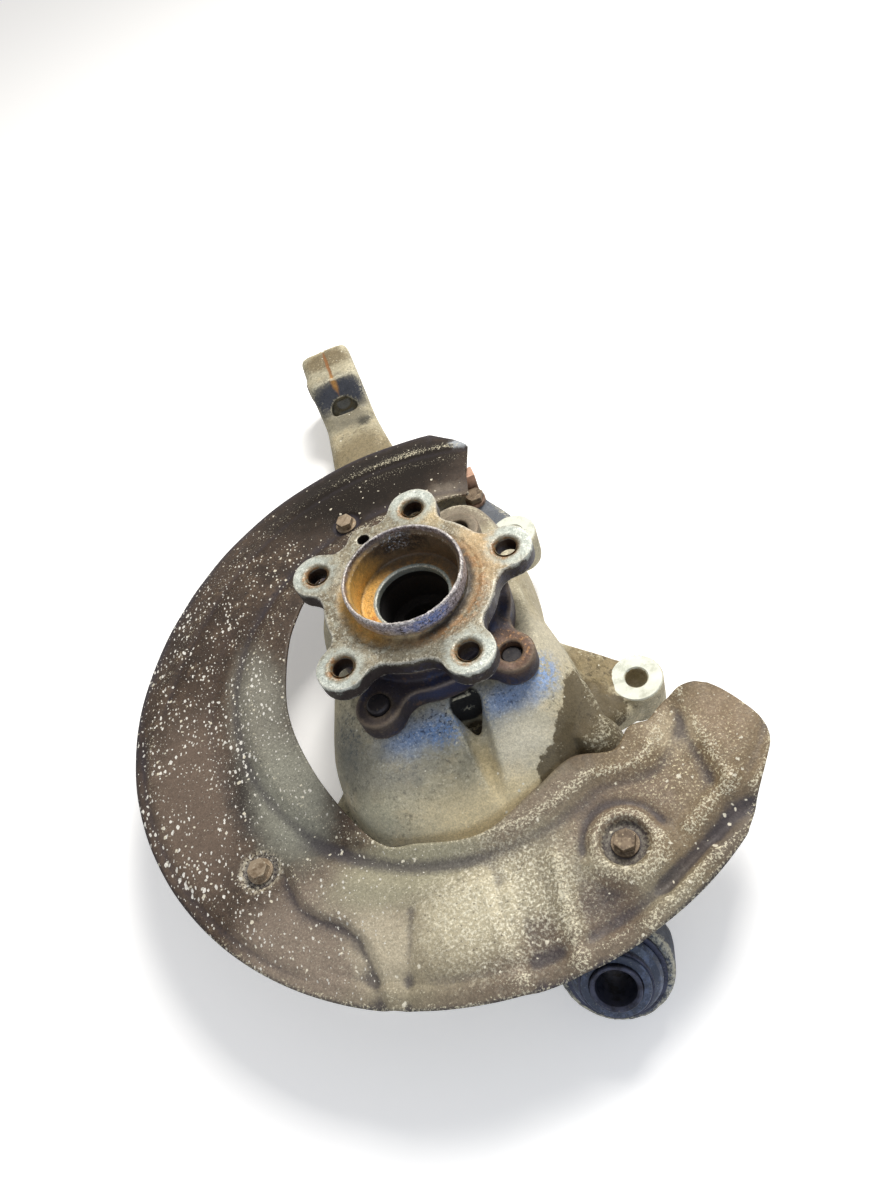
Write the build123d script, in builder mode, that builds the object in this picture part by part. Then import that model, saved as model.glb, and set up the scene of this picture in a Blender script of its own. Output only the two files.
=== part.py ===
from build123d import *
import os
from math import atan2, cos, degrees, exp, hypot, radians, sin, sqrt

# Front steering knuckle with hub-bearing unit, splash shield and lower ball sleeve joint.
# The origin is the centre of the wheel flange face. +Z is the hub axis, outboard.
# +Y points to the upper joint and +X to the brake caliper. All sizes are in millimetres.

os.makedirs("parts", exist_ok=True)

# Wheel flange and spigot
wheel_bolt_count = 5
wheel_pitch_radius = 56.0
wheel_bolt_bore = 6.3
flange_thickness = 11.0
flange_lobe_radius = 14.2
flange_waist_radius = 48.0
flange_blend_radius = 12.0
pad_height = 0.9
disc_screw_angle = 108.0
disc_screw_radius = 47.5
disc_screw_bore = 3.6
disc_screw_lobe = 9.5
spigot_radius = 33.25
spigot_height = 12.0
spigot_wall = 3.2
spigot_rim_step = 1.2
spigot_rim_height = 4.0
spigot_groove_width = 5.5
spigot_groove_depth = 1.0
cup_depth = 9.0
cup_floor_drop = 3.0
nut_recess_radius = 20.0
nut_recess_depth = 27.0
hub_bore_radius = 14.5

# Bearing unit
bearing_outer_radius = 44.0
bearing_top_gap = 5.0
bearing_length = 64.0
bearing_land_radius = 38.5
ball_pitch_radius = 34.0
ball_radius = 6.35
ball_count = 12
ball_clearance = 0.3
row_spacing = 30.0
row_inset = 17.0
hub_shaft_radius = 29.5
inner_ring_bore = 24.0
hub_lip_radius = 27.5
hub_lip_length = 5.0
cage_wall = 2.6
cage_width = 5.5
cage_back = 2.2
seal_thickness = 3.5
seal_gap = 0.35
fit_gap = 0.05
press_gap = 0.15

# Bearing flange and its bolts
bearing_flange_top = -24.0
bearing_flange_thickness = 14.0
bearing_bolt_half_x = 37.0
bearing_bolt_half_y = 47.0
bearing_lobe_radius = 13.0
bearing_flange_waist = 51.0
bearing_bolt_radius = 6.0
bearing_bolt_gap = 0.15
bolt_hole_gap = 0.5
bearing_bolt_head = 9.5
bearing_bolt_head_height = 9.0
bolt_washer_radius = 11.0
bolt_washer_height = 2.0
head_room = 1.5
bearing_bolt_stickout = 2.5
bearing_bolt_recess = 4.0

# Knuckle casting
knuckle_face = bearing_flange_top - bearing_flange_thickness
knuckle_back = -88.0
casting_wall = 8.0
bearing_boss_wall = 13.0
rib_thickness = 7.0
rib_height = 22.0
body_ribs = ((-110, 112), (-70, 112), (-146, 84), (70, 84), (110, 82))
rest_plane = -130.0
drain_width = 18.0
drain_depth = 26.0
drain_x = 5.0
valley_radius = 9.0

# Swan neck and clamp end
neck_x = -5.0
neck_width = 41.0
neck_thickness = 32.0
neck_rise = 3.0
clamp_low_y = 295.0
clamp_high_y = 336.0
clamp_outboard_z = -72.0
clamp_depth = 46.0
clamp_corner = 6.0
ramp_length = 15.0
pin_bore_radius = 8.5
pin_bore_z = -97.0
pin_spotface_radius = 11.0
slit_width = 1.6
pinch_bolt_radius = 4.0
pinch_bolt_y = 303.0
pinch_bolt_z = -82.0
pinch_head_radius = 6.5
pinch_head_height = 4.5
pinch_socket = 3.0
pinch_socket_depth = 3.0
pinch_boss_height = 1.0
pinch_blind = 4.0

# Caliper ears
ear_z = -80.0
ear_height = 26.0
ear_radius = 15.0
ear_bore = 6.2
ear_face_rim = 0.5
ear_low = (97.0, -57.0)
ear_high = (71.0, 77.5)

# Lower ball sleeve joint
joint_x = 27.0
joint_y = -184.5
joint_axis = Vector(-0.24, -0.72, 0.65).normalized()
joint_ear_radius = 28.0
joint_ear_half = 11.0
joint_housing_radius = 22.0
joint_housing_wall = 2.6
joint_ball_radius = 16.0
joint_sleeve_radius = 12.3
joint_bore_radius = 9.8
joint_sleeve_out = 25.0
joint_sleeve_in = 24.0
joint_play = 0.3
boot_wall = 2.4
boot_height = 10.0
boot_neck_radius = 16.5
boot_ring_wall = 1.1

# Splash shield
sheet = 1.5
shield_z = -66.0
shield_radius = 196.0
seat_z = -68.0
border_rise = 4.0
border_radius = 121.0
rim_slope = 0.34
field_rise = 3.5
tab_rise = 3.5
dome_rise = 4.5
seat_blend = 3.5
shield_hole = 84.0
shield_start = 58.0
shield_end = 330.0
shield_margin = 4.0
shield_steps = 60
shield_rings = 18
shield_bolt_inset = 40.0
shield_top_inset = 62.7
shield_front_angle = 213.9
shield_lower_angle = 289.5
shield_upper_angle = 102.8
shield_boss_radius = 8.5
shield_bolt_radius = 3.0
shield_bolt_length = 16.0
shield_hex = 10.0
shield_hex_height = 4.5
shield_flange_radius = 7.0
shield_flange_height = 1.4

# Steering arm
tie_rod = (-124.0, -97.0)
tie_rod_boss_radius = 17.0
tie_rod_boss_length = 28.0
tie_rod_bore = 7.0
tie_rod_taper = 1.4

# Hose bracket beside the neck
bracket_spot = (58.5, 122.5)
bracket_width = 9.0
bracket_height = 15.0
bracket_sheet = 2.5
bracket_bolt_radius = 3.0
bracket_head_radius = 5.5
bracket_bolt_length = 12.0
bracket_boss_radius = 7.0


def polar(radius, angle):
    return (radius * cos(radians(angle)), radius * sin(radians(angle)))


def smooth(value):
    # Rises smoothly from 0 at value 0 to 1 at value 1
    t = min(1.0, max(0.0, value))
    return t * t * (3 - 2 * t)


def bump(distance, width):
    return exp(-((distance / width) ** 2))


def segment_distance(x, y, start, end):
    ux, uy = end[0] - start[0], end[1] - start[1]
    along = ((x - start[0]) * ux + (y - start[1]) * uy) / (ux * ux + uy * uy)
    along = min(1.0, max(0.0, along))
    return hypot(x - start[0] - along * ux, y - start[1] - along * uy)


def save(piece, name):
    piece.part.label = name
    export_step(piece.part, f"parts/{name}.step")


# ---------------------------------------------------------------- hub
hub_back = -flange_thickness
bearing_top = hub_back - bearing_top_gap
bearing_end = bearing_top - bearing_length
row_outboard = bearing_top - row_inset
row_inboard = row_outboard - row_spacing
inner_ring_top = (row_outboard + row_inboard) / 2
groove_radius = ball_radius + ball_clearance
cup_radius = spigot_radius - spigot_wall
cup_floor = -cup_depth
hub_end = bearing_end - hub_lip_length
seal_top = bearing_top - 1.0
flange_skin = -pad_height

hub_profile = [
    (hub_bore_radius, hub_end),
    (hub_bore_radius, cup_floor - nut_recess_depth),
    (nut_recess_radius, cup_floor - nut_recess_depth),
    (nut_recess_radius, cup_floor - cup_floor_drop),
    (nut_recess_radius + 2.0, cup_floor - cup_floor_drop + 1.0),
    (cup_radius - 1.5, cup_floor + 1.0),
    (cup_radius - 0.6, cup_floor + 3.0),
    (cup_radius - 0.6, spigot_height - spigot_rim_height),
    (cup_radius + spigot_rim_step, spigot_height - spigot_rim_height + 0.8),
    (cup_radius + spigot_rim_step, spigot_height),
    (spigot_radius - 0.6, spigot_height),
    (spigot_radius, spigot_height - 0.6),
    (spigot_radius, 3.0),
    (spigot_radius - 1.0, 2.0),
    (spigot_radius - 1.0, flange_skin - spigot_groove_depth),
    (spigot_radius + spigot_groove_width, flange_skin - spigot_groove_depth),
    (spigot_radius + spigot_groove_width + 1.2, flange_skin),
    (flange_waist_radius - 4.0, flange_skin),
    (flange_waist_radius - 4.0, hub_back),
    (hub_shaft_radius + 7.0, hub_back),
    (hub_shaft_radius + 2.0, hub_back - 3.0),
    (hub_shaft_radius, seal_top),
    (hub_shaft_radius, inner_ring_top),
    (inner_ring_bore, inner_ring_top),
    (inner_ring_bore, bearing_end),
    (hub_lip_radius, bearing_end),
    (hub_lip_radius - 1.5, hub_end),
]

with BuildPart() as hub:
    with BuildSketch(Plane.XY.offset(hub_back)):
        Circle(flange_waist_radius)
        with PolarLocations(wheel_pitch_radius, wheel_bolt_count):
            Circle(flange_lobe_radius)
        with Locations(polar(disc_screw_radius, disc_screw_angle)):
            Circle(disc_screw_lobe)
        offset(amount=flange_blend_radius, kind=Kind.ARC)
        offset(amount=-flange_blend_radius, kind=Kind.ARC)
    extrude(amount=flange_thickness + flange_skin)
    with BuildSketch(Plane.XY.offset(flange_skin)):
        with PolarLocations(wheel_pitch_radius, wheel_bolt_count):
            Circle(flange_lobe_radius)
        with Locations(polar(disc_screw_radius, disc_screw_angle)):
            Circle(disc_screw_lobe - 1.0)
        Circle(spigot_radius + spigot_groove_width + 2.5, mode=Mode.SUBTRACT)
    extrude(amount=pad_height)
    with BuildSketch(Plane.XZ):
        with BuildLine():
            Polyline(*hub_profile, close=True)
        make_face()
    revolve(axis=Axis.Z)
    # Everything inside the spigot cup and bore stays open
    with BuildSketch(Plane.XY.offset(cup_floor)):
        Circle(cup_radius - 0.7)
    extrude(amount=-cup_floor + spigot_height, mode=Mode.SUBTRACT)
    with BuildSketch(Plane.XY.offset(hub_end)):
        Circle(hub_bore_radius)
    extrude(amount=-hub_end, mode=Mode.SUBTRACT)
    with BuildSketch(Plane.XY.offset(cup_floor - nut_recess_depth)):
        Circle(nut_recess_radius)
    extrude(amount=nut_recess_depth, mode=Mode.SUBTRACT)
    with BuildSketch(Plane.XY.offset(hub_back)):
        with PolarLocations(wheel_pitch_radius, wheel_bolt_count):
            Circle(wheel_bolt_bore)
        with Locations(polar(disc_screw_radius, disc_screw_angle)):
            Circle(disc_screw_bore)
    extrude(amount=flange_thickness, mode=Mode.SUBTRACT)
    # Raceway of the outboard ball row
    with BuildSketch(Plane.XZ):
        with Locations((ball_pitch_radius, row_outboard)):
            Circle(groove_radius)
    revolve(axis=Axis.Z, mode=Mode.SUBTRACT)
save(hub, "hub")

# ---------------------------------------------------------------- bearing unit
with BuildPart() as bearing_inner_ring:
    with BuildSketch(Plane.XZ):
        with BuildLine():
            Polyline(
                (inner_ring_bore + fit_gap, bearing_end + fit_gap),
                (hub_shaft_radius, bearing_end + fit_gap),
                (hub_shaft_radius, inner_ring_top - 1.0),
                (hub_shaft_radius - 1.0, inner_ring_top - fit_gap),
                (inner_ring_bore + fit_gap, inner_ring_top - fit_gap),
                close=True,
            )
        make_face()
        with Locations((ball_pitch_radius, row_inboard)):
            Circle(groove_radius, mode=Mode.SUBTRACT)
    revolve(axis=Axis.Z)
save(bearing_inner_ring, "bearing_inner_ring")

lobe_spots = [
    (side_x * bearing_bolt_half_x, side_y * bearing_bolt_half_y)
    for side_x in (-1, 1)
    for side_y in (-1, 1)
]

with BuildPart() as bearing_outer_ring:
    with BuildSketch(Plane.XY.offset(bearing_flange_top - bearing_flange_thickness)):
        Circle(bearing_flange_waist)
        with Locations(*lobe_spots):
            Circle(bearing_lobe_radius)
        offset(amount=flange_blend_radius, kind=Kind.ARC)
        offset(amount=-flange_blend_radius, kind=Kind.ARC)
    extrude(amount=bearing_flange_thickness)
    with BuildSketch(Plane.XY.offset(bearing_end)):
        Circle(bearing_outer_radius)
    extrude(amount=bearing_length)
    with BuildSketch(Plane.XY.offset(bearing_end)):
        Circle(bearing_land_radius)
    extrude(amount=bearing_length, mode=Mode.SUBTRACT)
    with BuildSketch(Plane.XZ):
        with Locations(
            (ball_pitch_radius, row_outboard),
            (ball_pitch_radius, row_inboard),
        ):
            Circle(groove_radius)
    revolve(axis=Axis.Z, mode=Mode.SUBTRACT)
    with BuildSketch(Plane.XY.offset(bearing_flange_top)):
        with Locations(*lobe_spots):
            Circle(bearing_bolt_radius + bearing_bolt_gap)
    extrude(amount=-bearing_flange_thickness, mode=Mode.SUBTRACT)
save(bearing_outer_ring, "bearing_outer_ring")


def ball_row(row_z):
    with BuildPart() as row:
        with Locations((0, 0, row_z)):
            with PolarLocations(ball_pitch_radius, ball_count):
                Sphere(ball_radius)
    return row


def ball_cage(row_z, back_side):
    # A comb cage: a closed ring on one side with open pockets for the balls
    inner = ball_pitch_radius - cage_wall / 2
    outer = ball_pitch_radius + cage_wall / 2
    back_face = row_z + back_side * (groove_radius + cage_back)
    front_face = row_z - back_side * (cage_width - 2.0)
    low, high = sorted((back_face, front_face))
    with BuildPart() as cage:
        with BuildSketch(Plane.XY.offset(low)):
            Circle(outer)
            Circle(inner, mode=Mode.SUBTRACT)
        extrude(amount=high - low)
        with Locations((0, 0, row_z)):
            with PolarLocations(ball_pitch_radius, ball_count):
                Cylinder(groove_radius, 4 * cage_wall, rotation=(0, 90, 0), mode=Mode.SUBTRACT)
    return cage


save(ball_row(row_outboard), "ball_row_outboard")
save(ball_row(row_inboard), "ball_row_inboard")
save(ball_cage(row_outboard, -1), "ball_cage_outboard")
save(ball_cage(row_inboard, 1), "ball_cage_inboard")


def seal_ring(inner, outer, top, lip_inner):
    # A stiffened ring with a thinner lip that runs close to the shaft
    with BuildPart() as ring:
        with BuildSketch(Plane.XZ):
            with BuildLine():
                Polyline(
                    (lip_inner, top),
                    (outer - 0.8, top),
                    (outer, top - 0.8),
                    (outer, top - seal_thickness),
                    (inner, top - seal_thickness),
                    (inner, top - 1.4),
                    (lip_inner, top - 1.4),
                    close=True,
                )
            make_face()
        revolve(axis=Axis.Z)
    return ring


seal_inner = (hub_shaft_radius + bearing_land_radius) / 2 + 1.0
save(
    seal_ring(seal_inner, bearing_land_radius - fit_gap, seal_top - 1.0, hub_shaft_radius + 0.8),
    "bearing_seal_outboard",
)

# The encoder ring is pressed on the inner ring and turns with it
encoder_bottom = bearing_end + 1.0
with BuildPart() as bearing_encoder_seal:
    with BuildSketch(Plane.XZ):
        with BuildLine():
            Polyline(
                (hub_shaft_radius + fit_gap, encoder_bottom),
                (bearing_land_radius - seal_gap, encoder_bottom),
                (bearing_land_radius - seal_gap, encoder_bottom + 1.6),
                (hub_shaft_radius + 2.0, encoder_bottom + 1.6),
                (hub_shaft_radius + 2.0, encoder_bottom + seal_thickness),
                (hub_shaft_radius + fit_gap, encoder_bottom + seal_thickness),
                close=True,
            )
        make_face()
    revolve(axis=Axis.Z)
save(bearing_encoder_seal, "bearing_encoder_seal")

# Bearing bolts come from the inboard side and end in the tapped lobes
bolt_seat = knuckle_back
for index, spot in enumerate(lobe_spots, start=1):
    stands_proud = index == 1
    bolt_tip = bearing_flange_top + (bearing_bolt_stickout if stands_proud else -bearing_bolt_recess)
    with BuildPart() as bearing_bolt:
        with BuildSketch(Plane.XY.offset(bolt_seat)):
            with Locations(spot):
                Circle(bearing_bolt_radius)
        extrude(amount=bolt_tip - bolt_seat)
        chamfer(bearing_bolt.edges().group_by(Axis.Z)[-1], 1.0)
        with BuildSketch(Plane.XY.offset(bolt_seat)):
            with Locations(spot):
                Circle(bolt_washer_radius)
        extrude(amount=-bolt_washer_height)
        with BuildSketch(Plane.XY.offset(bolt_seat - bolt_washer_height)):
            with Locations(spot):
                RegularPolygon(bearing_bolt_head, 6, major_radius=False)
        extrude(amount=bolt_washer_height - bearing_bolt_head_height)
    save(bearing_bolt, f"bearing_bolt_{index}")

# ---------------------------------------------------------------- lower joint frame
joint_drop = joint_ear_half * abs(joint_axis.Z) + joint_ear_radius * sqrt(1 - joint_axis.Z**2)
joint_centre = Vector(joint_x, joint_y, rest_plane + joint_drop)
joint_radial = joint_axis.cross(Vector(1, 0, 0)).normalized()
joint_plane = Plane(origin=joint_centre, x_dir=joint_radial, z_dir=joint_axis)
joint_profile_plane = Plane(
    origin=joint_centre, x_dir=joint_radial, z_dir=joint_radial.cross(joint_axis)
)
joint_line = Axis(joint_centre, joint_axis)


def joint_revolve(points):
    # Revolves a closed profile of (radius, distance along the joint axis) points
    with BuildPart() as piece:
        with BuildSketch(joint_profile_plane):
            with BuildLine():
                Polyline(*points, close=True)
            make_face()
        revolve(axis=joint_line)
    return piece


# ---------------------------------------------------------------- knuckle
body_angles = range(0, 360, 30)
body_sections = [
    (knuckle_face, (53, 68, 90, 72, 72, 62, 54, 62, 68, 56, 68, 62)),
    (-52.0, (61, 74, 98, 88, 84, 70, 62, 80, 98, 84, 92, 73)),
    (-66.0, (64, 77, 100, 100, 94, 74, 64, 88, 112, 106, 102, 78)),
    (knuckle_back, (63, 75, 97, 98, 92, 72, 62, 86, 118, 114, 110, 78)),
]


def body_sketch(level, radii, inset):
    points = [polar(radius - inset, angle) for radius, angle in zip(radii, body_angles)]
    with BuildSketch(Plane.XY.offset(level)) as section:
        with BuildLine():
            Spline(*points, periodic=True)
        make_face()
    return section.sketch


def arm_sections(stations):
    # Rounded rectangles across a spine of (x, y, z, width, depth) stations
    sketches = []
    for index, (x, y, z, width, depth) in enumerate(stations):
        before = Vector(stations[max(index - 1, 0)][:3])
        after = Vector(stations[min(index + 1, len(stations) - 1)][:3])
        along = (after - before).normalized()
        across = along.cross(Vector(0, 0, 1)).normalized()
        with BuildSketch(Plane(origin=(x, y, z), x_dir=across, z_dir=along)) as section:
            RectangleRounded(width, depth, 0.28 * min(width, depth))
        sketches.append(section.sketch)
    return sketches


clamp_z = clamp_outboard_z - clamp_depth / 2
neck_z = rest_plane + neck_thickness / 2
neck_stations = [
    (0, 58, -70, 88, 30),
    (0, 100, -86, 80, 34),
    (neck_x / 2, 150, neck_z + 8, 62, neck_thickness),
    (neck_x, 205, neck_z, 54, neck_thickness),
    (neck_x, 262, neck_z + 2, neck_width + 2, neck_thickness),
    (neck_x, clamp_low_y - ramp_length + 1, neck_z + neck_rise, neck_width, neck_thickness),
]
steering_stations = [
    (-46, -66, -84, 64, 24),
    (-88, -84, -98, 42, 26),
    (tie_rod[0] + 6, tie_rod[1] + 2, rest_plane + tie_rod_boss_radius + 1, 30, 26),
]
ear_arm_z = ear_z - 15.5
ear_stations = [
    [
        (38, -36, -76, 58, 26),
        (72, -54, -87, 50, 22),
        (*ear_low, ear_arm_z, 1.9 * ear_radius, 18),
    ],
    [
        (34, 62, -72, 52, 34),
        (54, 72, -88, 42, 24),
        (*ear_high, ear_arm_z, 1.9 * ear_radius, 18),
    ],
    [
        (24, 158, -104, 36, 18),
        (54, 116, -97, 30, 17),
        (*ear_high, ear_arm_z, 1.7 * ear_radius, 16),
    ],
]
# A crest from the bearing seat to a rounded corner beside the shield
crest_stations = [
    (44, -40, -58, 30, 20),
    (56, -64, -64, 26, 18),
    (60, -82, -70, 20, 16),
]
corner_levels = [
    (-92.0, (61, -86), 12.5),
    (-67.0, (62, -87), 11.5),
    (-60.5, (60, -84), 8.0),
]
lower_stations = [
    (8, -92, -80, 96, 22),
    (18, -132, -92, 82, 26),
    (joint_x, joint_y + 22, joint_centre.Z + 4, 50, 24),
]

body_outer = [body_sketch(level, radii, 0) for level, radii in body_sections]
body_inner = [
    body_sketch(level - casting_wall, radii, casting_wall) for level, radii in body_sections[1:]
]
neck_shape = arm_sections(neck_stations)
steering_shape = arm_sections(steering_stations)
lower_shape = arm_sections(lower_stations)
ear_arms = [arm_sections(stations) for stations in ear_stations]
crest_shape = arm_sections(crest_stations)
corner_shape = []
for level, spot, radius in corner_levels:
    with BuildSketch(Plane.XY.offset(level)) as corner_section:
        with Locations(spot):
            Circle(radius)
    corner_shape.append(corner_section.sketch)

valley_top = Vector(drain_x, -54, knuckle_face + 1)
valley_foot = Vector(drain_x - 1, -108, -64)
valley_shape = []
for spot, radius in ((valley_top, valley_radius), (valley_foot, valley_radius / 3)):
    with BuildSketch(Plane(origin=spot, z_dir=valley_foot - valley_top)) as valley_section:
        Circle(radius)
    valley_shape.append(valley_section.sketch)


def neck_plane(level, centre_z):
    # A plane across the swan neck, facing its clamp end
    return Plane(origin=(neck_x, level, centre_z), x_dir=(-1, 0, 0), z_dir=(0, 1, 0))


pin_foot_y = clamp_low_y - ramp_length
pin_plane = neck_plane(pin_foot_y, pin_bore_z)
clamp_foot = neck_plane(clamp_low_y, clamp_z)
ramp_shape = []
for section_plane, depth in (
    (neck_plane(pin_foot_y, neck_z + neck_rise), neck_thickness),
    (clamp_foot, clamp_depth),
):
    with BuildSketch(section_plane) as ramp_section:
        RectangleRounded(neck_width, depth, clamp_corner)
    ramp_shape.append(ramp_section.sketch)

slit_reach = clamp_outboard_z - pin_bore_z + 1.0
pinch_bolt_reach = neck_width + pinch_boss_height - pinch_blind
pinch_left = neck_x - neck_width / 2 - pinch_boss_height
pinch_plane = Plane(
    origin=(pinch_left, pinch_bolt_y, pinch_bolt_z), x_dir=(0, 1, 0), z_dir=(1, 0, 0)
)
shield_bolt_front = polar(shield_radius - shield_bolt_inset, shield_front_angle)
shield_bolt_lower = polar(shield_radius - shield_bolt_inset, shield_lower_angle)
shield_bolt_upper = polar(shield_radius - shield_top_inset, shield_upper_angle)
shield_spots = [shield_bolt_front, shield_bolt_lower, shield_bolt_upper]
shield_boss_foot = -100.0
bracket_boss_top = ear_z - 6.0
tie_rod_place = Location(
    (tie_rod[0], tie_rod[1], rest_plane + tie_rod_boss_radius), (90, 0, 0)
)
bearing_flange_edge = bearing_bolt_half_y + bearing_lobe_radius

with BuildPart() as knuckle:
    loft(sections=body_outer)
    # The casting is open at the back around its bearing boss
    loft(sections=body_inner, mode=Mode.SUBTRACT)
    with BuildSketch(Plane.XY.offset(knuckle_back)):
        Circle(bearing_outer_radius + bearing_boss_wall)
        with Locations(*lobe_spots):
            Circle(bearing_lobe_radius + 1)
    extrude(amount=knuckle_face - knuckle_back - 1.0)
    # Radial ribs from the boss to the skirt
    with BuildSketch(Plane.XY.offset(knuckle_back)):
        for angle, reach in body_ribs:
            rib_start = bearing_outer_radius + bearing_boss_wall / 2
            with Locations(Location((*polar((reach + rib_start) / 2, angle), 0), angle)):
                Rectangle(reach - rib_start, rib_thickness)
    extrude(amount=rib_height)
    loft(sections=neck_shape)
    loft(sections=steering_shape)
    loft(sections=crest_shape)
    loft(sections=corner_shape)
    loft(sections=lower_shape)
    # Clamp block and the ramp that carries it
    loft(sections=ramp_shape)
    with BuildSketch(clamp_foot):
        RectangleRounded(neck_width, clamp_depth, clamp_corner)
    extrude(amount=clamp_high_y - clamp_low_y)
    with Locations((neck_x - neck_width / 2, pinch_bolt_y, pinch_bolt_z)):
        Cylinder(pinch_head_radius + 2, 2 * pinch_boss_height, rotation=(0, 90, 0))
    # Caliper ears on webs that run into the body and the neck
    with BuildSketch(Plane.XY.offset(ear_z - ear_height)):
        with Locations(ear_low, ear_high):
            Circle(ear_radius)
    extrude(amount=ear_height)
    for arm in ear_arms:
        loft(sections=arm)
    # The ears are milled flat on both sides
    for level, height in ((ear_z, ear_height), (ear_z - ear_height, rest_plane - ear_z + ear_height)):
        with BuildSketch(Plane.XY.offset(level)):
            with Locations(ear_low, ear_high):
                Circle(ear_radius + ear_face_rim)
        extrude(amount=height, mode=Mode.SUBTRACT)
    # Bosses for the splash shield and the hose bracket
    with BuildSketch(Plane.XY.offset(shield_boss_foot)):
        with Locations(*shield_spots):
            Circle(shield_boss_radius)
    extrude(amount=seat_z - sheet - shield_boss_foot)
    with BuildSketch(Plane.XY.offset(ear_z - ear_height)):
        with Locations(bracket_spot):
            Circle(bracket_boss_radius)
    extrude(amount=bracket_boss_top - ear_z + ear_height)
    # Tie rod boss and lower ear
    with Locations(tie_rod_place):
        Cylinder(tie_rod_boss_radius, tie_rod_boss_length)
    with BuildSketch(joint_plane.offset(-joint_ear_half)):
        Circle(joint_ear_radius)
    extrude(amount=2 * joint_ear_half)
    # Bores
    with BuildSketch(Plane.XY.offset(rest_plane)):
        Circle(bearing_outer_radius + press_gap)
    extrude(amount=-rest_plane, mode=Mode.SUBTRACT)
    with BuildSketch(Plane.XY.offset(rest_plane)):
        with Locations(*lobe_spots):
            Circle(bearing_bolt_radius + bolt_hole_gap)
        with Locations(ear_low, ear_high):
            Circle(ear_bore)
    extrude(amount=-rest_plane, mode=Mode.SUBTRACT)
    # Room for the heads of the bearing bolts and a socket
    with BuildSketch(Plane.XY.offset(knuckle_back)):
        with Locations(*lobe_spots):
            Circle(bolt_washer_radius + head_room)
    extrude(amount=rest_plane - knuckle_back, mode=Mode.SUBTRACT)
    with BuildSketch(Plane.XY.offset(seat_z)):
        with Locations(*shield_spots):
            Circle(shield_bolt_radius + fit_gap)
    extrude(amount=-shield_bolt_length - 1.0, mode=Mode.SUBTRACT)
    with BuildSketch(Plane.XY.offset(bracket_boss_top)):
        with Locations(bracket_spot):
            Circle(bracket_bolt_radius + fit_gap)
    extrude(amount=-bracket_bolt_length - 1.0, mode=Mode.SUBTRACT)
    with BuildSketch(joint_plane.offset(-2 * joint_ear_radius)):
        Circle(joint_housing_radius + press_gap)
    extrude(amount=4 * joint_ear_radius, mode=Mode.SUBTRACT)
    with Locations(tie_rod_place):
        Cone(
            tie_rod_bore,
            tie_rod_bore - tie_rod_taper,
            tie_rod_boss_length,
            mode=Mode.SUBTRACT,
        )
    # Ball pin bore, its spotface on the underside and the slit that lets it close
    with BuildSketch(pin_plane):
        Circle(pin_bore_radius)
    extrude(amount=clamp_high_y - pin_foot_y, mode=Mode.SUBTRACT)
    with BuildSketch(pin_plane):
        Circle(pin_spotface_radius)
    extrude(amount=clamp_low_y - pin_foot_y - 2.0, mode=Mode.SUBTRACT)
    with BuildSketch(pin_plane):
        with Locations((0, slit_reach / 2)):
            Rectangle(slit_width, slit_reach)
    extrude(amount=clamp_high_y - pin_foot_y, mode=Mode.SUBTRACT)
    with BuildSketch(pinch_plane):
        Circle(pinch_bolt_radius + bearing_bolt_gap)
    extrude(amount=pinch_bolt_reach, mode=Mode.SUBTRACT)
    with BuildSketch(pinch_plane):
        Circle(pinch_head_radius + bolt_hole_gap)
    extrude(amount=pinch_head_height, mode=Mode.SUBTRACT)
    # Valley under the bearing flange with the drain opening at its head
    loft(sections=valley_shape, mode=Mode.SUBTRACT)
    with BuildSketch(Plane.XY.offset(knuckle_face)):
        with Locations((drain_x, -bearing_flange_edge)):
            Triangle(a=drain_width, b=drain_width, c=drain_width, rotation=180)
    extrude(amount=-drain_depth, mode=Mode.SUBTRACT)
save(knuckle, "knuckle")

# ---------------------------------------------------------------- pinch bolt
with BuildPart() as pinch_bolt:
    with BuildSketch(pinch_plane):
        Circle(pinch_bolt_radius)
    extrude(amount=pinch_bolt_reach - 1.0)
    # A sunk cylindrical head with a hexagon socket
    with BuildSketch(pinch_plane):
        Circle(pinch_head_radius)
    extrude(amount=pinch_head_height)
    with BuildSketch(pinch_plane):
        RegularPolygon(pinch_socket, 6, major_radius=False)
    extrude(amount=pinch_socket_depth, mode=Mode.SUBTRACT)
save(pinch_bolt, "pinch_bolt")

# ---------------------------------------------------------------- lower joint
housing_inner = joint_housing_radius - joint_housing_wall
socket_radius = joint_ball_radius + joint_play
race_half = joint_ear_half - 1.0
race_mouth = sqrt(socket_radius**2 - race_half**2)
boot_seat = joint_ear_half + 2.0
sleeve_clear = joint_sleeve_radius + joint_play

joint_housing = joint_revolve([
    (housing_inner, -joint_ear_half),
    (joint_housing_radius, -joint_ear_half - 1.0),
    (joint_housing_radius, joint_ear_half + fit_gap),
    (joint_housing_radius + 2.0, joint_ear_half + fit_gap),
    (joint_housing_radius + 2.0, boot_seat),
    (housing_inner, boot_seat),
])
save(joint_housing, "joint_housing")

with BuildPart() as joint_race:
    with BuildSketch(joint_profile_plane):
        with BuildLine():
            Line((race_mouth, -race_half), (housing_inner - fit_gap, -race_half))
            Line((housing_inner - fit_gap, -race_half), (housing_inner - fit_gap, race_half))
            Line((housing_inner - fit_gap, race_half), (race_mouth, race_half))
            ThreePointArc((race_mouth, race_half), (socket_radius, 0), (race_mouth, -race_half))
        make_face()
    revolve(axis=joint_line)
save(joint_race, "joint_race")

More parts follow.
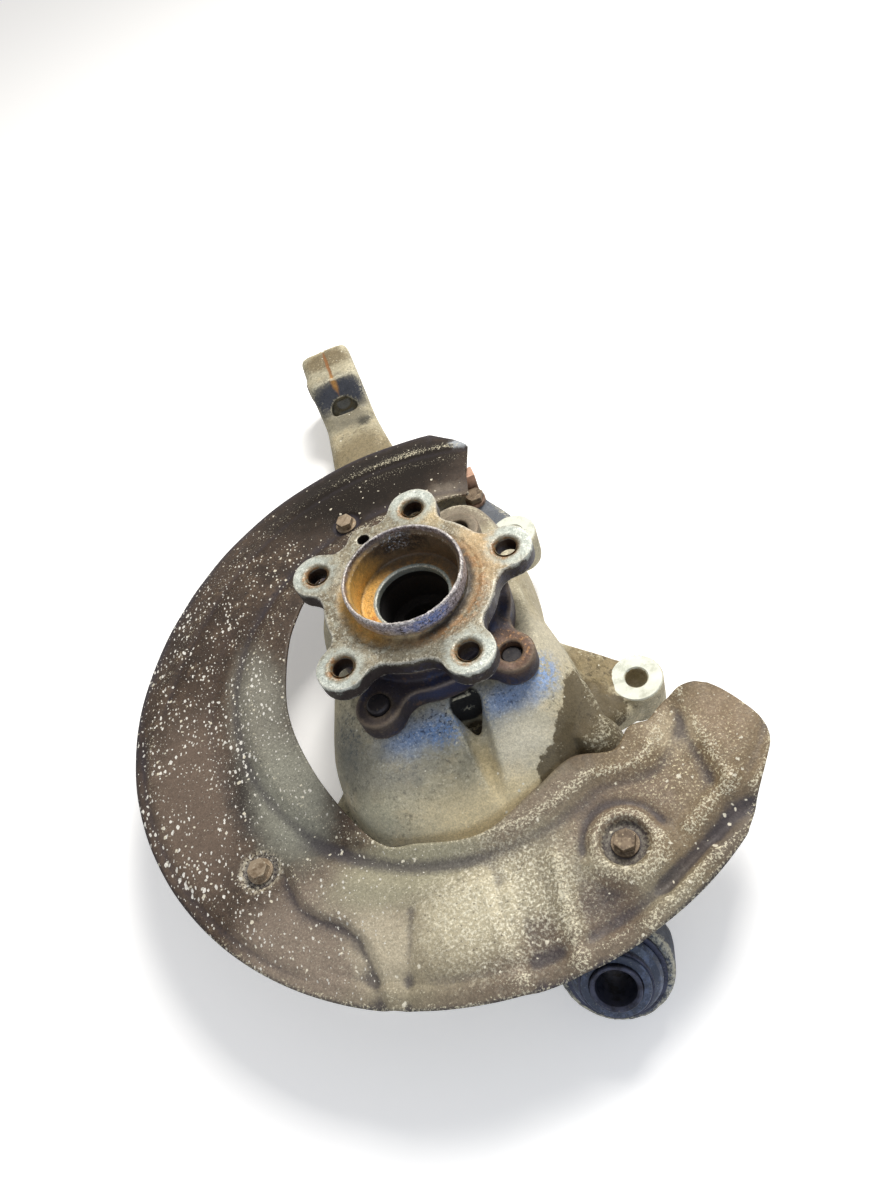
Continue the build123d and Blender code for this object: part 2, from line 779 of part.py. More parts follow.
ball_end = sqrt(joint_ball_radius**2 - joint_sleeve_radius**2)
with BuildPart() as joint_sleeve:
    with BuildSketch(joint_profile_plane):
        with BuildLine():
            Polyline(
                (joint_sleeve_radius, -ball_end),
                (joint_sleeve_radius, -joint_sleeve_in + 1.0),
                (joint_sleeve_radius - 1.0, -joint_sleeve_in),
                (joint_bore_radius, -joint_sleeve_in),
                (joint_bore_radius, joint_sleeve_out - 1.0),
                (joint_bore_radius + 1.0, joint_sleeve_out),
                (joint_sleeve_radius - 0.5, joint_sleeve_out),
                (joint_sleeve_radius, joint_sleeve_out - 0.5),
                (joint_sleeve_radius, ball_end),
            )
            ThreePointArc(
                (joint_sleeve_radius, ball_end),
                (joint_ball_radius, 0),
                (joint_sleeve_radius, -ball_end),
            )
        make_face()
    revolve(axis=joint_line)
save(joint_sleeve, "joint_sleeve")

# One boot and clamp ring on each side of the housing
for name, side, seat, height in (
    ("outer", 1, boot_seat, boot_height),
    ("inner", -1, joint_ear_half + 1.0, boot_height - 1.5),
):
    boot_profile = [
        (joint_housing_radius - 0.5, 0.05),
        (joint_housing_radius - 0.1, 1.6),
        (joint_housing_radius - 1.6, 0.38 * height),
        (boot_neck_radius + 0.9, 0.52 * height),
        (boot_neck_radius, 0.62 * height),
        (boot_neck_radius, height - 0.4),
        (boot_neck_radius - 0.4, height),
        (sleeve_clear + 0.2, height),
        (sleeve_clear, height - 0.8),
        (sleeve_clear, 0.70 * height),
        (boot_neck_radius - boot_wall, 0.45 * height),
        (housing_inner + 0.2, 0.18 * height),
        (housing_inner + 0.2, 0.05),
    ]
    boot = joint_revolve([(radius, side * (seat + along)) for radius, along in boot_profile])
    save(boot, f"joint_boot_{name}")
    ring_low = side * (seat + 0.68 * height)
    ring_high = side * (seat + 0.88 * height)
    boot_ring = joint_revolve([
        (boot_neck_radius + 0.02, ring_low),
        (boot_neck_radius + boot_ring_wall, ring_low),
        (boot_neck_radius + boot_ring_wall, ring_high),
        (boot_neck_radius + 0.02, ring_high),
    ])
    save(boot_ring, f"joint_ring_{name}")

# ---------------------------------------------------------------- splash shield
def rim_start(angle):
    # The rim is wide above the hub and narrow in front of it and below
    return 172.0 + 16.0 * smooth((angle - 140.0) / 50.0)


def shield_height(x, y):
    # The pressed form of the sheet: an inner border, a turned rim and stiffening embosses
    radius = hypot(x, y)
    angle = degrees(atan2(y, x)) % 360
    height = shield_z
    low_border = border_radius + 17.0 * smooth((angle - 292.0) / 14.0)
    height += border_rise * (1 - smooth((radius - low_border + 4.0) / 12.0))
    side_step = smooth((angle - 138.0) / 12.0) * (1 - smooth((angle - 208.0) / 16.0))
    height += 1.8 * side_step * (1 - smooth((radius - 132.0) / 14.0))
    rim = rim_start(angle)
    height -= 1.5 * bump(radius - rim + 4.0, 4.5)
    height -= rim_slope * max(0.0, radius - rim)
    # Raised field below the hub, with a creased edge towards the front bolt
    field_edge = -83.0 - 0.9 * max(0.0, y + 146.0)
    field = smooth((x - field_edge) / 8.0) * (1 - smooth((x + 20.0) / 9.0))
    field *= smooth((radius - 128.0) / 14.0) * smooth((-y - 80.0) / 20.0)
    height += field_rise * field
    height -= 1.6 * bump(segment_distance(x, y, (-61, -151), (-75, -188)), 3.5)
    # Ridges, dimple and valley towards the caliper side
    height += 3.0 * bump(segment_distance(x, y, (18, -143), (8, -198)), 6.5)
    height -= 3.2 * bump(hypot(x - 30, y + 177), 14.0)
    height += 3.0 * bump(segment_distance(x, y, (44, -189), (88, -160)), 6.5)
    height -= 2.6 * bump(segment_distance(x, y, (60, -176), (104, -158)), 6.0)
    # Tab that is set higher beside the caliper
    height += tab_rise * smooth((x - 104.0) / 10.0) * (1 - smooth((-y - 140.0) / 14.0))
    # Domed seat of the lower bolt and flat seats of the other two
    from_lower = hypot(x - shield_bolt_lower[0], y - shield_bolt_lower[1])
    height += dome_rise * (1 - smooth((from_lower - 16.0) / 10.0))
    for spot, flat in (
        (shield_bolt_lower, 10.5),
        (shield_bolt_front, 9.0),
        (shield_bolt_upper, 9.0),
    ):
        level = 1 - smooth((hypot(x - spot[0], y - spot[1]) - flat) / seat_blend)
        height += level * (seat_z - height)
    return height


def radial_section(angle):
    # One strip of the sheet, cut along a ray from the hub axis
    reach = shield_radius + shield_margin - shield_hole
    top = []
    for ring in range(shield_rings + 1):
        px, py = polar(shield_hole + reach * ring / shield_rings, angle)
        top.append(Vector(px, py, shield_height(px, py)))
    bottom = [point - Vector(0, 0, sheet) for point in top]
    with BuildLine() as outline:
        Spline(*top)
        Line(top[-1], bottom[-1])
        Spline(*reversed(bottom))
        Line(bottom[0], top[0])
    return Face(Wire(outline.edges()))


pressed_sections = [
    radial_section(shield_start + (shield_end - shield_start) * step / shield_steps)
    for step in range(shield_steps + 1)
]
shield_outline = [polar(shield_radius, angle) for angle in (-57, -105, -195, 108, 76)]

with BuildPart() as splash_shield:
    loft(sections=pressed_sections, ruled=True)
    with BuildSketch(Plane.XY.offset(shield_z - 30)):
        with BuildLine():
            # Turned rim, from the caliper side round the front to the top
            ThreePointArc(shield_outline[0], shield_outline[1], shield_outline[2])
            ThreePointArc(shield_outline[2], shield_outline[3], shield_outline[4])
            # Chipped top corner and cut edge behind the caliper
            Polyline(shield_outline[4], (61, 171), (68, 157), (63, 149), (61, 141), (54, 110))
            # Inner border, open to the hub
            Spline(
                (54, 110),
                (38, 113),
                (5, 109),
                (-36, 99),
                (-74, 70),
                (-94, 10),
                (-89, -42),
                (-66, -97),
                (-43, -109),
                (-11, -116.5),
                (22, -105),
                (45, -96.5),
                (66, -101.5),
                (78, -93),
                (89, -93.5),
            )
            # Tab beside the lower caliper ear
            Spline((89, -93.5), (103, -86), (122, -83), (136, -104), (139, -125), (116, -154))
            Line((116, -154), shield_outline[0])
        make_face()
    extrude(amount=60, mode=Mode.INTERSECT)
    # Flat seats and holes of the three bolts, and flat undersides on the bosses
    with BuildSketch(Plane.XY.offset(seat_z - sheet)):
        with Locations(*shield_spots):
            Circle(shield_boss_radius + bolt_hole_gap)
    extrude(amount=-sheet, mode=Mode.SUBTRACT)
    with BuildSketch(Plane.XY.offset(seat_z)):
        with Locations(*shield_spots):
            Circle(shield_flange_radius + bolt_hole_gap)
    extrude(amount=shield_margin, mode=Mode.SUBTRACT)
    with BuildSketch(Plane.XY.offset(seat_z)):
        with Locations(*shield_spots):
            Circle(shield_bolt_radius + bolt_hole_gap)
    extrude(amount=shield_margin, both=True, mode=Mode.SUBTRACT)
save(splash_shield, "splash_shield")

for name, spot in (
    ("front", shield_bolt_front),
    ("lower", shield_bolt_lower),
    ("upper", shield_bolt_upper),
):
    with BuildPart() as shield_bolt:
        with BuildSketch(Plane.XY.offset(seat_z)):
            with Locations(spot):
                Circle(shield_bolt_radius)
        extrude(amount=-shield_bolt_length)
        with BuildSketch(Plane.XY.offset(seat_z)):
            with Locations(spot):
                Circle(shield_flange_radius)
        extrude(amount=shield_flange_height)
        with BuildSketch(Plane.XY.offset(seat_z + shield_flange_height)):
            with Locations(spot):
                RegularPolygon(shield_hex / 2, 6, major_radius=False)
        extrude(amount=shield_hex_height)
    save(shield_bolt, f"shield_bolt_{name}")

# ---------------------------------------------------------------- hose bracket
with BuildPart() as hose_bracket:
    with BuildSketch(Plane.XY.offset(bracket_boss_top)):
        with Locations(bracket_spot):
            Circle(bracket_head_radius + 1.5)
            with Locations((1.0, bracket_width)):
                Rectangle(bracket_width, 2 * bracket_width)
            Circle(bracket_bolt_radius + bolt_hole_gap, mode=Mode.SUBTRACT)
    extrude(amount=bracket_sheet)
    with BuildSketch(Plane.XY.offset(bracket_boss_top)):
        with Locations((bracket_spot[0] + 1.0, bracket_spot[1] + 1.5 * bracket_width)):
            Rectangle(bracket_width, bracket_width)
    extrude(amount=bracket_height)
save(hose_bracket, "hose_bracket")

bracket_top = bracket_boss_top + bracket_sheet
with BuildPart() as hose_bracket_bolt:
    with BuildSketch(Plane.XY.offset(bracket_top)):
        with Locations(bracket_spot):
            Circle(bracket_bolt_radius)
    extrude(amount=-bracket_bolt_length)
    with BuildSketch(Plane.XY.offset(bracket_top)):
        with Locations(bracket_spot):
            RegularPolygon(bracket_head_radius, 6, major_radius=False)
    extrude(amount=shield_hex_height)
save(hose_bracket_bolt, "hose_bracket_bolt")
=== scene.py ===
import math

import bmesh
import bpy
import numpy as np
from mathutils import Matrix, Vector


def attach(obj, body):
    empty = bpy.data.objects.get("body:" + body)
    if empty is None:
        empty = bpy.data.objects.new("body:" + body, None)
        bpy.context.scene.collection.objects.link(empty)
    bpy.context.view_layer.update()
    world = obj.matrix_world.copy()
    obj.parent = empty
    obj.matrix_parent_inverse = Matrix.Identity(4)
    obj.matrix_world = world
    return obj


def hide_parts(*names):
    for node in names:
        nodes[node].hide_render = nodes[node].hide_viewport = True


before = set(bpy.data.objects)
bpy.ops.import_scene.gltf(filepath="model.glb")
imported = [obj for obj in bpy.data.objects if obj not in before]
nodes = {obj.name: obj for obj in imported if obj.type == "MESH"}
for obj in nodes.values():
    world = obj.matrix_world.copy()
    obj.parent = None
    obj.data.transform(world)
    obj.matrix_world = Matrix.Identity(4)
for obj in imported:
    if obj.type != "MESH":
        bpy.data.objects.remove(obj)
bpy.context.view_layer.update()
mm = 0.001  # all sizes below are millimetres until they reach Blender
print("frame loaded:", len(nodes), "nodes")


def toLinear(code):
    # sRGB hex to the linear values that Blender wants
    parts = [int(code[i:i + 2], 16) / 255 for i in (1, 3, 5)]
    return tuple(p / 12.92 if p <= 0.04045 else ((p + 0.055) / 1.055) ** 2.4 for p in parts) + (1.0,)


def addNode(tree, kind, inputs=None, **settings):
    node = tree.nodes.new("ShaderNode" + kind)
    for name, value in settings.items():
        setattr(node, name, value)
    for key, value in (inputs or {}).items():
        if isinstance(value, bpy.types.NodeSocket):
            tree.links.new(value, node.inputs[key])
        else:
            node.inputs[key].default_value = value
    return node


def meshObject(name, verts, faces, smooth=True):
    mesh = bpy.data.meshes.new(name)
    mesh.from_pydata([tuple(v) for v in verts], [], [tuple(f) for f in faces])
    mesh.update()
    if smooth:
        mesh.polygons.foreach_set("use_smooth", [True] * len(mesh.polygons))
    obj = bpy.data.objects.new(name, mesh)
    bpy.context.scene.collection.objects.link(obj)
    return obj


def storeValue(mesh, name, values):
    layer = mesh.attributes.new(name, "FLOAT", "POINT")
    layer.data.foreach_set("value", np.asarray(values, dtype=np.float32))


def place(obj, material, body):
    obj.data.materials.clear()
    obj.data.materials.append(material)
    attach(obj, body)


def zone(at, size, code, amount, edge, wobble, **more):
    # A stain, a worn place, a painted shade, a painted highlight or a painted reflection: its middle, half
    # sizes, colour, how strong it is, how much of it fades out and how far its edge wanders. More may be
    # turn (degrees), ring (where its open middle ends), broken (grain size and how much stays bare), rough
    # (its own roughness) or drum (straight sides)
    return dict(more, at=at, size=size, hex=code, amount=amount, edge=edge, wobble=wobble)


# How every weathered surface is drawn. Most values of a noise lie between noiseLow and noiseHigh
drawing = {
    "noiseLow": 0.3, "noiseHigh": 0.7, "grainLow": 0.32, "grainHigh": 0.68,
    "wobbleSize": 9, "raggedSize": 2.4, "roughSize": 6,
    "ringEdge": 0.12, "brokenEdge": 0.1, "fleckEdge": 0.05, "fleckRough": 0.9, "bevelSamples": 6,
    "massLow": 0.36, "massHigh": 0.6, "massLeast": 0.25, "withinEdge": 0.7,
}


def weathered(name, spec):
    # Tones lie over each other at their own grain size, then zones, ridges worn pale and painted as
    # highlights, painted shade in hollows, flecks, and at last grain as light, dark and relief
    material = bpy.data.materials.new(name)
    material.use_nodes = True
    tree = material.node_tree
    shader = tree.nodes["Principled BSDF"]
    where = addNode(tree, "TexCoord").outputs["Object"]
    wander = addNode(tree, "TexNoise", {
        "Vector": where, "Scale": 1 / (spec.get("wobbleSize", drawing["wobbleSize"]) * mm), "Detail": 5.0,
        "Roughness": 0.65})
    wander = addNode(tree, "VectorMath", {0: wander.outputs["Color"], 1: (0.5, 0.5, 0.5)},
                     operation="SUBTRACT").outputs[0]
    ragged = addNode(tree, "TexNoise", {
        "Vector": where, "Scale": 1 / (drawing["raggedSize"] * mm), "Detail": 2.0})
    ragged = addNode(tree, "VectorMath", {0: ragged.outputs["Color"], 1: (0.5, 0.5, 0.5)},
                     operation="SUBTRACT").outputs[0]
    # Noises of one grain size are shared by all that use them
    sizes = [patch["broken"][0] for patch in spec.get("patches", []) if "broken" in patch]
    sizes += [wearAndPaintedLight["grain"] for wearAndPaintedLight in spec.get("wearAndPaintedLight", [])]
    sizes += [size for size, _ in spec.get("grain", [])]
    grains = {
        size: addNode(tree, "TexNoise", {
            "Vector": where, "Scale": 1 / (size * mm), "Detail": 4.0, "Roughness": 0.7}).outputs["Fac"]
        for size in sorted(set(sizes))
    }

    base = addNode(tree, "RGB")
    base.outputs[0].default_value = toLinear(spec["base"])
    colour = base.outputs[0]
    for code, size, low, high in spec.get("tones", []):
        noise = addNode(tree, "TexNoise", {
            "Vector": where, "Scale": 1 / (size * mm), "Detail": 6.0, "Roughness": 0.68})
        mask = addNode(tree, "MapRange", {"Value": noise.outputs["Fac"], "From Min": low, "From Max": high},
                       interpolation_type="SMOOTHSTEP")
        colour = addNode(tree, "Mix", {0: mask.outputs[0], 6: colour, 7: toLinear(code)},
                         data_type="RGBA").outputs[2]

    uneven = addNode(tree, "TexNoise", {
        "Vector": where, "Scale": 1 / (drawing["roughSize"] * mm), "Detail": 5.0})
    low, high = spec["roughness"]
    roughness = addNode(tree, "MapRange", {
        "Value": uneven.outputs["Fac"], "From Min": drawing["noiseLow"], "From Max": drawing["noiseHigh"],
        "To Min": low, "To Max": high}).outputs[0]

    for patch in spec.get("patches", []):
        shifted = addNode(tree, "VectorMath", {0: wander, 1: (2 * patch["wobble"] * mm,) * 3, 2: where},
                          operation="MULTIPLY_ADD")
        local = addNode(tree, "Mapping", {
            "Vector": shifted.outputs[0], "Location": tuple(c * mm for c in patch["at"]),
            "Rotation": (0, 0, math.radians(patch.get("turn", 0))),
            "Scale": tuple(s * mm for s in patch["size"])}, vector_type="TEXTURE").outputs[0]
        reach = addNode(tree, "VectorMath", {0: local}, operation="LENGTH").outputs["Value"]
        if patch.get("drum"):
            # Straight-sided: as wide at its ends as in the middle
            flat = addNode(tree, "VectorMath", {0: local, 1: (1, 1, 0)}, operation="MULTIPLY").outputs[0]
            wide = addNode(tree, "VectorMath", {0: flat}, operation="LENGTH").outputs["Value"]
            tall = addNode(tree, "SeparateXYZ", {"Vector": local}).outputs[2]
            tall = addNode(tree, "Math", {0: tall}, operation="ABSOLUTE").outputs[0]
            reach = addNode(tree, "Math", {0: wide, 1: tall}, operation="MAXIMUM").outputs[0]
        mask = addNode(tree, "MapRange", {
            "Value": reach, "From Min": 1 - patch["edge"], "From Max": 1.0, "To Min": patch["amount"],
            "To Max": 0.0}, interpolation_type="SMOOTHSTEP").outputs[0]
        if "ring" in patch:
            # Open in the middle, for halos
            inner = addNode(tree, "MapRange", {
                "Value": reach, "From Min": patch["ring"] - drawing["ringEdge"], "From Max": patch["ring"]},
                interpolation_type="SMOOTHSTEP")
            mask = addNode(tree, "Math", {0: mask, 1: inner.outputs[0]}, operation="MULTIPLY").outputs[0]
        if "broken" in patch:
            size, bare = patch["broken"]
            crumbs = addNode(tree, "MapRange", {
                "Value": grains[size], "From Min": bare, "From Max": bare + drawing["brokenEdge"]})
            mask = addNode(tree, "Math", {0: mask, 1: crumbs.outputs[0]}, operation="MULTIPLY").outputs[0]
        colour = addNode(tree, "Mix", {0: mask, 6: colour, 7: toLinear(patch["hex"])},
                         data_type="RGBA").outputs[2]
        if "rough" in patch:
            roughness = addNode(tree, "Mix", {0: mask, 2: roughness, 3: patch["rough"]}).outputs[0]

    for wearAndPaintedLight in spec.get("wearAndPaintedLight", []):
        # The skins store how far each point stands out of its surroundings: pale where it stands out, as
        # wear and painted highlight, dark in hollows as painted shade
        stored = addNode(tree, "Attribute", attribute_name=wearAndPaintedLight["by"]).outputs["Fac"]
        shift = addNode(tree, "MapRange", {
            "Value": grains[wearAndPaintedLight["grain"]], "From Min": drawing["noiseLow"],
            "From Max": drawing["noiseHigh"], "To Min": -wearAndPaintedLight["spread"], "To Max": wearAndPaintedLight["spread"]})
        stored = addNode(tree, "Math", {0: stored, 1: shift.outputs[0]}, operation="ADD").outputs[0]
        mask = addNode(tree, "MapRange", {
            "Value": stored, "From Min": wearAndPaintedLight["from"], "From Max": wearAndPaintedLight["to"], "To Max": wearAndPaintedLight["amount"]})
        colour = addNode(tree, "Mix", {0: mask.outputs[0], 6: colour, 7: toLinear(wearAndPaintedLight["hex"])},
                         data_type="RGBA").outputs[2]

    for fleck in spec.get("flecks", []):
        # Splashes of lime and salt: each cell of the pattern holds at most one, smaller where this slow
        # noise is low
        point = addNode(tree, "VectorMath", {0: ragged, 1: (fleck["wobble"] * mm,) * 3, 2: where},
                        operation="MULTIPLY_ADD").outputs[0]
        if "long" in fleck:
            point = addNode(tree, "VectorMath", {0: point, 1: (1, 1 / fleck["long"], 1)},
                            operation="MULTIPLY").outputs[0]
        cells = addNode(tree, "TexVoronoi", {"Vector": point, "Scale": 1 / (fleck["spacing"] * mm)},
                        voronoi_dimensions="2D" if fleck.get("flat") else "3D")
        parts = addNode(tree, "SeparateColor", {"Color": cells.outputs["Color"]})
        radius = addNode(tree, "MapRange", {
            "Value": parts.outputs[0], "From Min": 1 - fleck["share"], "From Max": 1.0, "To Min": 0.0,
            "To Max": fleck["radius"] / fleck["spacing"]}).outputs[0]
        gather = addNode(tree, "TexNoise", {
            "Vector": where, "Scale": 1 / (fleck["mass"] * mm), "Detail": 3.0})
        scale = addNode(tree, "MapRange", {
            "Value": gather.outputs["Fac"], "From Min": drawing["massLow"], "From Max": drawing["massHigh"],
            "To Min": drawing["massLeast"], "To Max": 1.0})
        radius = addNode(tree, "Math", {0: radius, 1: scale.outputs[0]}, operation="MULTIPLY").outputs[0]
        if "within" in fleck:
            middle, reach = fleck["within"]
            local = addNode(tree, "Mapping", {
                "Vector": where, "Location": tuple(c * mm for c in middle),
                "Scale": tuple(r * mm for r in reach)}, vector_type="TEXTURE")
            length = addNode(tree, "VectorMath", {0: local.outputs[0]}, operation="LENGTH")
            inside = addNode(tree, "MapRange", {
                "Value": length.outputs["Value"], "From Min": drawing["withinEdge"], "From Max": 1.0,
                "To Min": 1.0, "To Max": 0.0})
            radius = addNode(tree, "Math", {0: radius, 1: inside.outputs[0]},
                             operation="MULTIPLY").outputs[0]
        gap = addNode(tree, "Math", {0: radius, 1: cells.outputs["Distance"]}, operation="SUBTRACT")
        mask = addNode(tree, "MapRange", {
            "Value": gap.outputs[0], "From Min": 0.0, "From Max": drawing["fleckEdge"]}).outputs[0]
        colour = addNode(tree, "Mix", {0: mask, 6: colour, 7: toLinear(fleck["hex"])},
                         data_type="RGBA").outputs[2]
        roughness = addNode(tree, "Mix", {0: mask, 2: roughness, 3: drawing["fleckRough"]}).outputs[0]

    for size, amount in spec.get("grain", []):
        # Light and dark grain over every colour alike
        shade = addNode(tree, "MapRange", {
            "Value": grains[size], "From Min": drawing["grainLow"], "From Max": drawing["grainHigh"],
            "To Min": 1 - amount, "To Max": 1 + amount}).outputs[0]
        colour = addNode(tree, "Mix", {0: 1.0, 6: colour, 7: shade}, data_type="RGBA",
                         blend_type="MULTIPLY").outputs[2]

    height = None
    for size, depth in spec.get("relief", []):
        noise = addNode(tree, "TexNoise", {
            "Vector": where, "Scale": 1 / (size * mm), "Detail": 5.0, "Roughness": 0.6})
        part = addNode(tree, "Math", {0: noise.outputs["Fac"], 1: depth * mm},
                       operation="MULTIPLY").outputs[0]
        height = part if height is None else addNode(tree, "Math", {0: height, 1: part},
                                                     operation="ADD").outputs[0]
    if height is not None:
        relief = {"Height": height, "Strength": 1.0, "Distance": 1.0}
        if "roundEdge" in spec:
            relief["Normal"] = addNode(tree, "Bevel", {"Radius": spec["roundEdge"] * mm},
                                       samples=drawing["bevelSamples"]).outputs[0]
        bumps = addNode(tree, "Bump", relief)
        tree.links.new(bumps.outputs[0], shader.inputs["Normal"])
    tree.links.new(colour, shader.inputs["Base Color"])
    tree.links.new(roughness, shader.inputs["Roughness"])
    shader.inputs["Metallic"].default_value = spec.get("metallic", 0.0)
    return material


# Sand-cast aluminium, shot blasted: a dull, grainy grey under dried road dirt. Sand grains of about
# 0.3 mm are drawn as 0.9 mm, and the dirt's crumbs as 2.2 mm, so that they show
castSpec = {
    "base": "#bcb397",
    "tones": [("#a9a28a", 30, 0.46, 0.64), ("#c6b897", 20, 0.5, 0.66),
              ("#857e6b", 3.2, 0.52, 0.66), ("#cfc7ad", 2.6, 0.54, 0.66)],
    "roughness": (0.5, 0.8),
    "metallic": 0.1,
    "patches": [
        # Pale dust on the lower right of the body, grey in the middle, darker on the left
        zone((-4, -112, -68), (62, 38, 34), "#dfcda2", 0.92, 0.8, 8),
        zone((-62, -86, -62), (24, 20, 24), "#b9b59c", 0.7, 0.8, 6),
        zone((24, -80, -54), (30, 24, 24), "#d3ccb6", 0.85, 0.8, 6),
        zone((57, -34, -44), (24, 26, 22), "#c3bba4", 0.85, 0.7, 6),
        zone((-62, -52, -52), (26, 34, 30), "#6d6e68", 0.85, 0.85, 8),
        zone((-38, -74, -50), (34, 18, 14), "#7f7f78", 0.8, 0.9, 7),
        # Painted blue sky reflection on the bare metal below the wheel flange, dark in its pits
        zone((4, -62, -41), (66, 20, 13), "#9ba3a9", 0.85, 0.8, 7),
        zone((-24, -63, -40), (32, 14, 11), "#6787b6", 0.78, 0.95, 7),
        zone((-8, -66, -43), (20, 13, 11), "#6f98d0", 0.75, 0.9, 6, broken=(2.2, 0.46)),
        zone((28, -62, -40), (30, 13, 11), "#7793c0", 0.78, 0.95, 6),
        zone((47, -55, -42), (20, 18, 13), "#86a9dc", 0.8, 0.9, 6, broken=(2.4, 0.44)),
        zone((0, -60, -40), (66, 17, 9), "#1f2536", 0.9, 0.8, 7, broken=(2.0, 0.53)),
        zone((0, -64, -42), (72, 22, 13), "#d5dbdf", 0.8, 0.8, 7, broken=(1.3, 0.56)),
        zone((-56, -42, -50), (18, 30, 22), "#3d4650", 0.8, 0.8, 6, broken=(2.4, 0.52)),
        # Tan painted highlight down the valley below the drain opening, a painted shade line on its left,
        # and the opening painted black as the shade inside it
        zone((4, -84, -56), (7, 22, 16), "#c4b183", 0.8, 0.8, 4),
        zone((-3, -76, -52), (4, 14, 12), "#4a4943", 0.4, 0.9, 3),
        zone((5, -54, -46), (11, 9, 15), "#0c0b0c", 0.98, 0.2, 1, rough=0.95),
        zone((4, -56, -68), (9, 8, 9), "#453c2c", 0.9, 0.4, 1),
        # Dark olive patch with a ragged edge beside the caliper ear
        zone((66, -80, -66), (27, 34, 24), "#5c5038", 0.94, 0.06, 8, turn=-28),
        zone((48, -96, -66), (26, 16, 16), "#5c5038", 0.94, 0.08, 8, turn=28),
        zone((82, -38, -84), (36, 26, 24), "#84734e", 0.85, 0.4, 8),
        zone((78, -44, -80), (30, 24, 22), "#544933", 0.75, 0.7, 8, broken=(3.0, 0.52)),
        zone((66, -82, -62), (24, 26, 18), "#3a3021", 0.7, 0.6, 8, broken=(2.2, 0.54)),
        zone((68, -88, -64), (13, 12, 12), "#d4ccae", 0.85, 0.8, 6, broken=(1.6, 0.54)),
        # Painted shadow: a brown-black band under the bearing flange
        zone((0, 0, -36), (58, 60, 6), "#2a2729", 0.9, 0.25, 4),
        zone((60, 6, -52), (22, 34, 34), "#a2977c", 0.7, 0.7, 8),
        # Brown-grey wall between the upper lobe and the shield
        zone((46, 84, -52), (34, 46, 34), "#887c6a", 0.92, 0.35, 6),
        zone((46, 84, -52), (34, 46, 34), "#b9ae98", 0.7, 0.5, 6, broken=(1.6, 0.56)),
        # Smooth arm of the upper ear: painted blue-grey shade and reflection, with a painted highlight
        # along its top
        zone((66, 108, -92), (28, 28, 24), "#59616f", 0.9, 0.35, 4),
        zone((64, 104, -80), (20, 24, 7), "#93a0b2", 0.7, 0.7, 4),
        # Neck: painted dark blue shade on the underside of the clamp block, tan below
        zone((-5, 215, -95), (44, 50, 40), "#897b5c", 0.9, 0.5, 9),
        zone((-5, 215, -95), (44, 56, 40), "#6f654c", 0.6, 0.5, 9, broken=(2.4, 0.5)),
        zone((-5, 288, -84), (40, 17, 24), "#2c3344", 0.94, 0.6, 6),
        zone((-5, 270, -96), (34, 16, 14), "#6f6a5a", 0.8, 0.7, 8),
        zone((6, 263, -98), (9, 7, 8), "#34322c", 0.85, 0.7, 4),
        zone((-5, 322, -72), (30, 18, 12), "#74664a", 0.9, 0.6, 7),
        zone((-5, 310, -72), (26, 20, 12), "#c8bd9e", 0.7, 0.7, 7, broken=(1.8, 0.55)),
        zone((-5, 312, -80), (1.9, 30, 22), "#8a5a2c", 0.9, 0.4, 1),
        zone((-5, 296, -78), (4, 10, 10), "#b98746", 0.85, 0.6, 2),
        # Bare bore wall inside the mouth of the slit, with painted highlights as two bright crescents
        zone((-5, 303, -105), (9, 7, 4), "#e6e6e0", 0.95, 0.4, 1),
        zone((-5, 292, -106), (9, 4, 5), "#b9bdc0", 0.9, 0.5, 1),
        # Painted blue-black shade and blue reflection on the ear round the sleeve joint, flecked lighter
        zone((30, -194, -102), (52, 44, 50), "#39404f", 0.94, 0.22, 4),
        zone((40, -206, -92), (34, 26, 30), "#6b7890", 0.7, 0.7, 5, broken=(2.6, 0.5)),
    ],
    # Pale on ridges as wear and painted highlight, dark in hollows as painted shade
    "wearAndPaintedLight": [
        {"by": "stand", "hex": "#ded7bb", "from": 0.35, "to": 0.7, "amount": 0.6,
         "grain": 1.8, "spread": 0.32},
        {"by": "stand", "hex": "#2c2824", "from": -0.25, "to": -1.0, "amount": 0.65,
         "grain": 2.6, "spread": 0.2},
    ],
    "flecks": [{"spacing": 3.4, "radius": 0.9, "share": 0.25, "hex": "#e2ddca", "mass": 20, "wobble": 1.4}],
    "grain": [(0.9, 0.22), (2.2, 0.14)],
    "relief": [(1.7, 0.3), (0.8, 0.2), (14, 0.5)],
}

